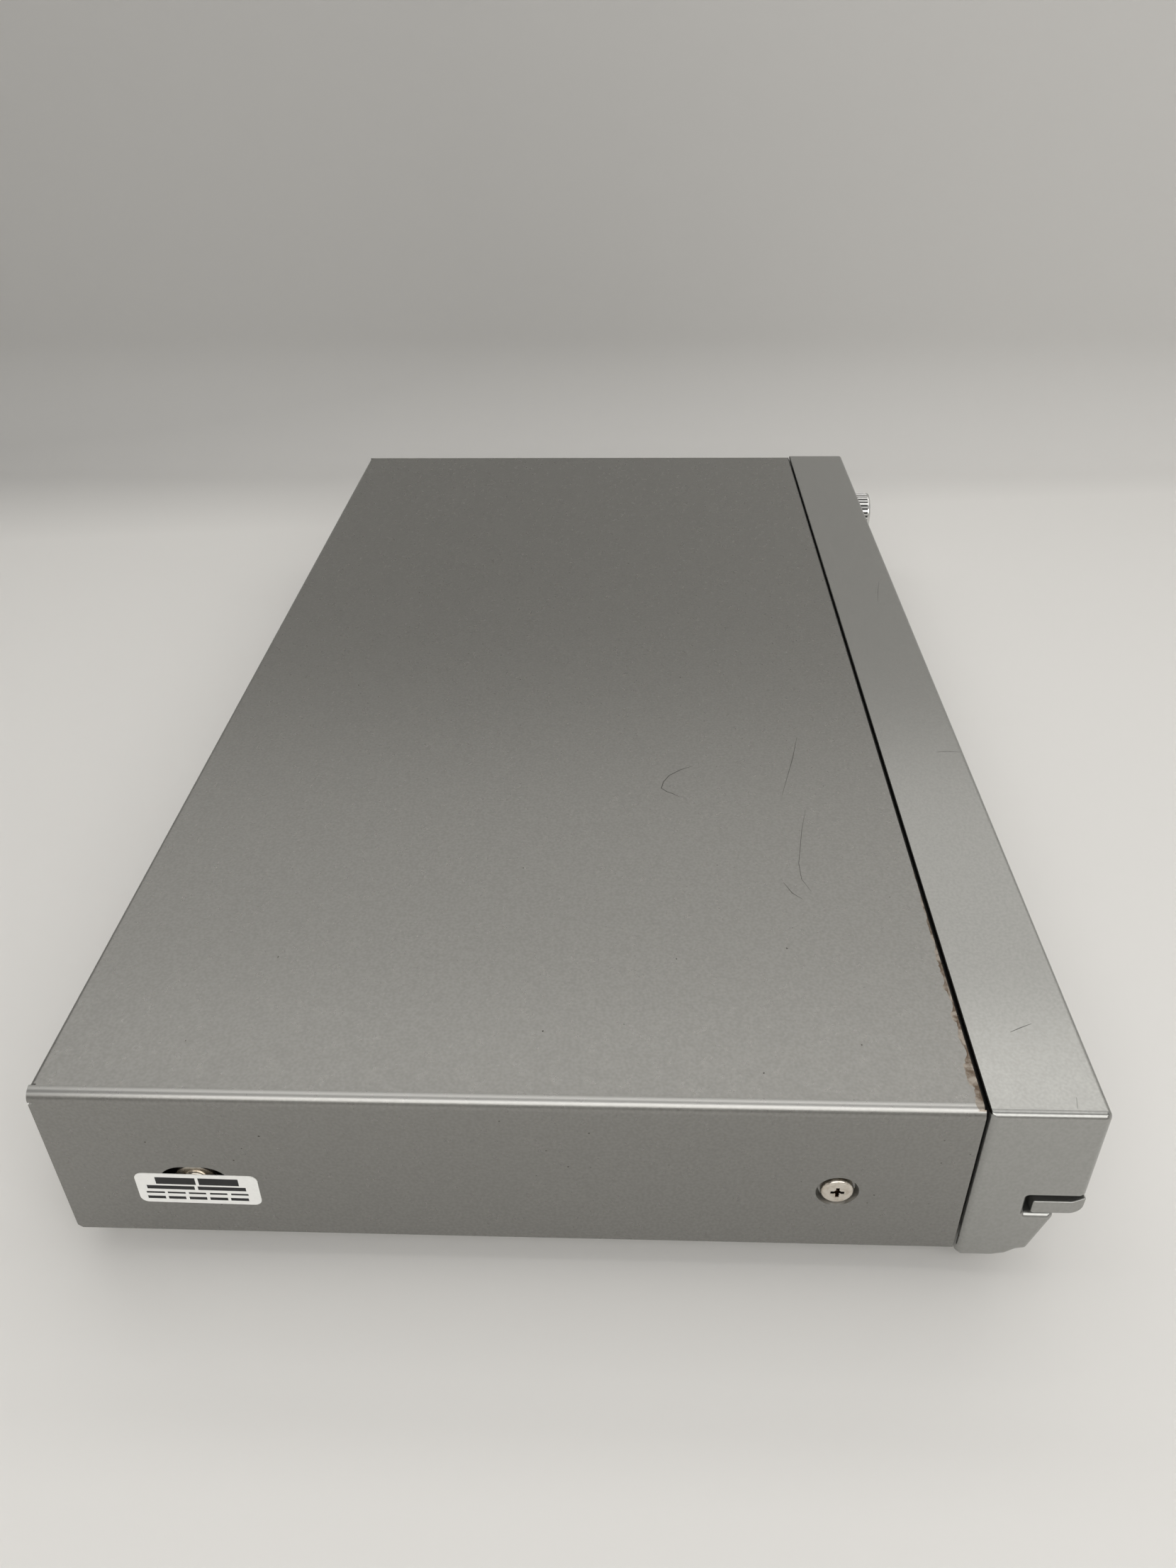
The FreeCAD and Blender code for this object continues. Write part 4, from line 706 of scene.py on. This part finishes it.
def flecks():
    """Small dark knocks and dust spots on the cover's top and sides."""
    dice = random.Random(11)
    mesh = bmesh.new()
    x_dir, y_dir, z_dir = Vector((1, 0, 0)), Vector((0, 1, 0)), Vector((0, 0, 1))
    chosen = [(-162.4, 39.2), (-154.3, 36.9), (-190.2, 81.2), (-197.8, 186.1), (-195.6, 25.0)]
    chosen += [(dice.uniform(-205, 200), dice.uniform(6, 210)) for _ in range(26)]
    for x, y in chosen:
        size = 0.18 + 0.22 * dice.random()
        add_fleck(mesh, at(x, y, COVER_TOP + ABOVE_PAINT), x_dir, y_dir, size, dice)
    for side in (-1, 1):
        spots = [(21.6, 19.5), (22.9, 16.5), (8.4, 16.7), (173.6, 27.4), (1.7, 35.0)]
        spots += [(dice.uniform(5, 212), dice.uniform(3, 44)) for _ in range(16)]
        for y, z in spots:
            size = 0.14 + 0.18 * dice.random()
            add_fleck(mesh, at(side * (COVER_SIDE + ABOVE_PAINT), y, z), y_dir, z_dir, size, dice)
    finish_piece("flecks", mesh, "dirt", "case")


# ---------------------------------------------------------------- rear port details
def network_port():
    """Eight gold fingers and two lamps in the network socket."""
    fingers = bmesh.new()
    y = PANEL_Y
    finger = [(y - 9.5, 18.6), (y - 1.2, 14.9), (y - 0.9, 15.3), (y - 9.3, 19.0)]
    for i in range(8):
        x = -18 + (i - 3.5) * 1.02
        add_prism(fingers, finger, x - 0.22, x + 0.22, "x")
    finish_piece("network_fingers", fingers, "gold", "case")
    for name, x, look in (("network_lamp_left", -24.2, "yellow"), ("network_lamp_right", -11.8, "green")):
        lamp = bmesh.new()
        add_block(lamp, x - 1.1, x + 1.1, PANEL_Y + 0.98, PANEL_Y + 1.08, 19.3, 20.9)
        finish_piece(name, lamp, look, "case", bevel=0.04)


def usb_tongues():
    """Insulating tongue with four contacts inside both memory-stick sockets."""
    tongues, contacts = bmesh.new(), bmesh.new()
    for x, z, face, inward in ((152.0, 10.6, -8.0, 1), (6.0, 11.2, PANEL_Y - 0.4, -1)):
        y0, y1 = sorted((face + inward * 1.0, face + inward * 8.0))
        add_block(tongues, x - 5.2, x + 5.2, y0, y1, z + 0.15, z + 1.75)
        for i in range(4):
            cx = x + (i - 1.5) * 2.3
            add_block(contacts, cx - 0.5, cx + 0.5, y0 + 0.6, y1, z + 0.05, z + 0.14)
    finish_piece("usb_tongues", tongues, "white", "case", bevel=0.15)
    finish_piece("usb_contacts", contacts, "gold", "case")


def monitor_port():
    """Blue insulator with fifteen contact holes in the monitor socket's shell."""
    face, holes = bmesh.new(), bmesh.new()
    x0, z0, y = -50.0, 15.5, PANEL_Y + 5.8
    add_prism(face, [(x0 - 7.4, z0 + 3.4), (x0 + 7.4, z0 + 3.4), (x0 + 6.2, z0 - 3.4), (x0 - 6.2, z0 - 3.4)],
              y - 0.1, y + 0.12)
    for row in range(3):
        for i in range(5):
            add_lathe(holes, x0 + 2.3 * (i - 2) + 1.1 * (row == 1) - 0.5, z0 + 2.3 * (row - 1),
                      [(0.5, y + 0.11), (0.5, y + 0.15), (0, y + 0.15)], 14)
    finish_piece("monitor_insulator", face, "blue", "case", bevel=0.2)
    finish_piece("monitor_holes", holes, "black", "case")


def extra_pieces():
    """Every visible piece that is not a CAD node."""
    video_jacks()
    phono_jacks("rear_audio", "audio_jacks", AUDIO_JACKS, PANEL_Y + 8.0, PANEL_Y, PANEL_Y - 9.0)
    phono_jacks("front_video", "front_av_jacks", FRONT_JACKS, -15.0, -8.0, 1.0)
    network_port()
    usb_tongues()
    monitor_port()
    screen_outlines()
    key_marks()
    front_lights()
    dial_mark()
    seal_print()
    flecks()
    for name, (points, width, level) in SCRATCHES.items():
        scratch(name, points, width, level)


# ---------------------------------------------------------------- studio
WALL_H = 1.6
LIGHT_COLOR = (1.0, 0.988, 0.962)
LIGHTS = [      # name, place, target, size, watts
    ("wall_low", (0.40, 0.0, 0.42), (-0.3, 0.0, 0.20), (1.8, 0.26), 0.70),
    ("wall_high", (0.40, 0.0, 0.70), (-0.3, 0.0, 0.30), (1.8, 0.26), 2.0),
    ("ceiling", (0.0, 0.0, 1.0), (0.0, 0.0, 0.0), (0.6, 1.4), 2.7),
    ("camera_side_high", (-0.64, -0.08, 0.95), (-0.215, 0.0, 0.05), (1.4, 1.3), 2.9),
    ("camera_side_low", (-0.85, -0.12, 0.62), (-0.215, 0.0, 0.05), (1.4, 0.5), 4.5),
    ("right_fill", (0.0, -0.7, 0.6), (0.0, 0.0, 0.0), (0.6, 0.5), 0.4),
    ("wash_back", (-0.75, 1.3, 0.9), (-0.75, 2.3, 0.5), (1.5, 0.4), 9.0),
    ("wash_front", (-0.75, -1.3, 0.9), (-0.75, -2.3, 0.5), (1.5, 0.4), 7.0),
    ("wash_left", (-1.4, 0.0, 0.9), (-2.5, 0.0, 0.5), (3.0, 0.4), 8.0),
]


def backdrop_paper():
    """Matt paper with painted shade: it turns from pale to mid grey where it meets the near wall."""
    pale, grey = (0.80, 0.79, 0.772), (0.500, 0.495, 0.485)
    s = Shader("backdrop_paper", pale, 0.62)
    depth = s.math("ADD", s.axis("X"), s.math("MULTIPLY", s.axis("Y"), 0.11))
    # painted shade: the paper darkens towards the near wall
    s.base(s.mix(s.remap(depth, 0.28, 0.425), s.speckle(3, 0.012), grey))
    one_sided(s)
    return s.mat


def one_sided(s):
    """Makes the paper clear when it is met from behind, so it doesn't block a view from past the wall."""
    clear = s.node("ShaderNodeBsdfTransparent")
    choice = s.node("ShaderNodeMixShader")
    output = s.tree.nodes["Material Output"]
    s.link(s.node("ShaderNodeNewGeometry").outputs["Backfacing"], choice.inputs["Fac"])
    s.link(s.bsdf.outputs["BSDF"], choice.inputs[1])
    s.link(clear.outputs["BSDF"], choice.inputs[2])
    s.link(choice.outputs["Shader"], output.inputs["Surface"])


def curve_up(start, radius, top, steps=24):
    """Points of a quarter circle that turns a flat run at distance start into an upright wall."""
    points = []
    for i in range(1, steps + 1):
        a = math.pi / 2 * i / steps
        points.append((start + radius * math.sin(a), radius * (1 - math.cos(a))))
    return points + [(start + radius, top)]


def sweep():
    """Pale floor that curves up into a wall close behind the object and, far off, on the other three sides.
    It also runs on flat past the near wall, for views from that side."""
    near = 0.345
    across = [(-1.0, 0.0), (0.0, 0.0), (near, 0.0)] + curve_up(near, 0.07, WALL_H)
    across = [(-x, z) for x, z in curve_up(2.0, 0.5, WALL_H)][::-1] + across
    side = curve_up(1.9, 0.5, WALL_H)
    along = [(-y, z) for y, z in side][::-1] + [(-0.6, 0.0), (0.6, 0.0)] + side
    beyond = [(x, 0.0) for x in (near, 0.6, 1.2, 2.5)]
    mesh = bmesh.new()
    for run in (across, beyond):
        rows = [[mesh.verts.new((x, y, max(z, rise))) for y, rise in along] for x, z in run]
        for a, b in zip(rows, rows[1:]):
            for i in range(len(along) - 1):
                mesh.faces.new((a[i], b[i], b[i + 1], a[i + 1])).smooth = True
    data = bpy.data.meshes.new("studio_sweep")
    mesh.to_mesh(data)
    mesh.free()
    obj = bpy.data.objects.new("studio_sweep", data)
    bpy.context.scene.collection.objects.link(obj)
    data.materials.append(backdrop_paper())


def area_light(name, place, target, size, power):
    """Soft rectangular light that faces its target."""
    light = bpy.data.lights.new(name, "AREA")
    light.shape = "RECTANGLE"
    light.size, light.size_y = size
    light.energy = power
    light.color = LIGHT_COLOR
    obj = bpy.data.objects.new(name, light)
    obj.location = place
    obj.rotation_euler = (Vector(target) - Vector(place)).to_track_quat("-Z", "Y").to_euler()
    bpy.context.scene.collection.objects.link(obj)


def studio():
    """Backdrop, lights, a faint world and plain colour handling."""
    sweep()
    for row in LIGHTS:
        area_light(*row)
    world = bpy.data.worlds.new("studio_world")
    world.use_nodes = True
    world.node_tree.nodes["Background"].inputs["Color"].default_value = (0.80, 0.80, 0.79, 1.0)
    world.node_tree.nodes["Background"].inputs["Strength"].default_value = 0.01
    bpy.context.scene.world = world
    view = bpy.context.scene.view_settings
    view.view_transform = "Standard"
    view.look = "None"


def camera():
    """Phone camera near the left end, looking along the recorder and down."""
    data = bpy.data.cameras.new("camera")
    data.sensor_fit = "VERTICAL"
    data.sensor_height = 36.0
    data.lens = 27.22
    data.clip_start = 0.01
    yaw, pitch, roll = (math.radians(v) for v in (2.567, -34.49, -0.962))
    ahead = Vector((math.cos(pitch) * math.cos(yaw), math.cos(pitch) * math.sin(yaw), math.sin(pitch)))
    right = ahead.cross(Vector((0, 0, 1))).normalized()
    up = right.cross(ahead)
    side = right * math.cos(roll) + up * math.sin(roll)
    top = up * math.cos(roll) - right * math.sin(roll)
    pose = Matrix((side, top, -ahead)).transposed().to_4x4()
    pose.translation = at(-393.46, 79.8, 259.68)
    obj = bpy.data.objects.new("camera", data)
    obj.matrix_world = pose
    bpy.context.scene.collection.objects.link(obj)
    bpy.context.scene.camera = obj


dress_nodes()
extra_pieces()
studio()
camera()
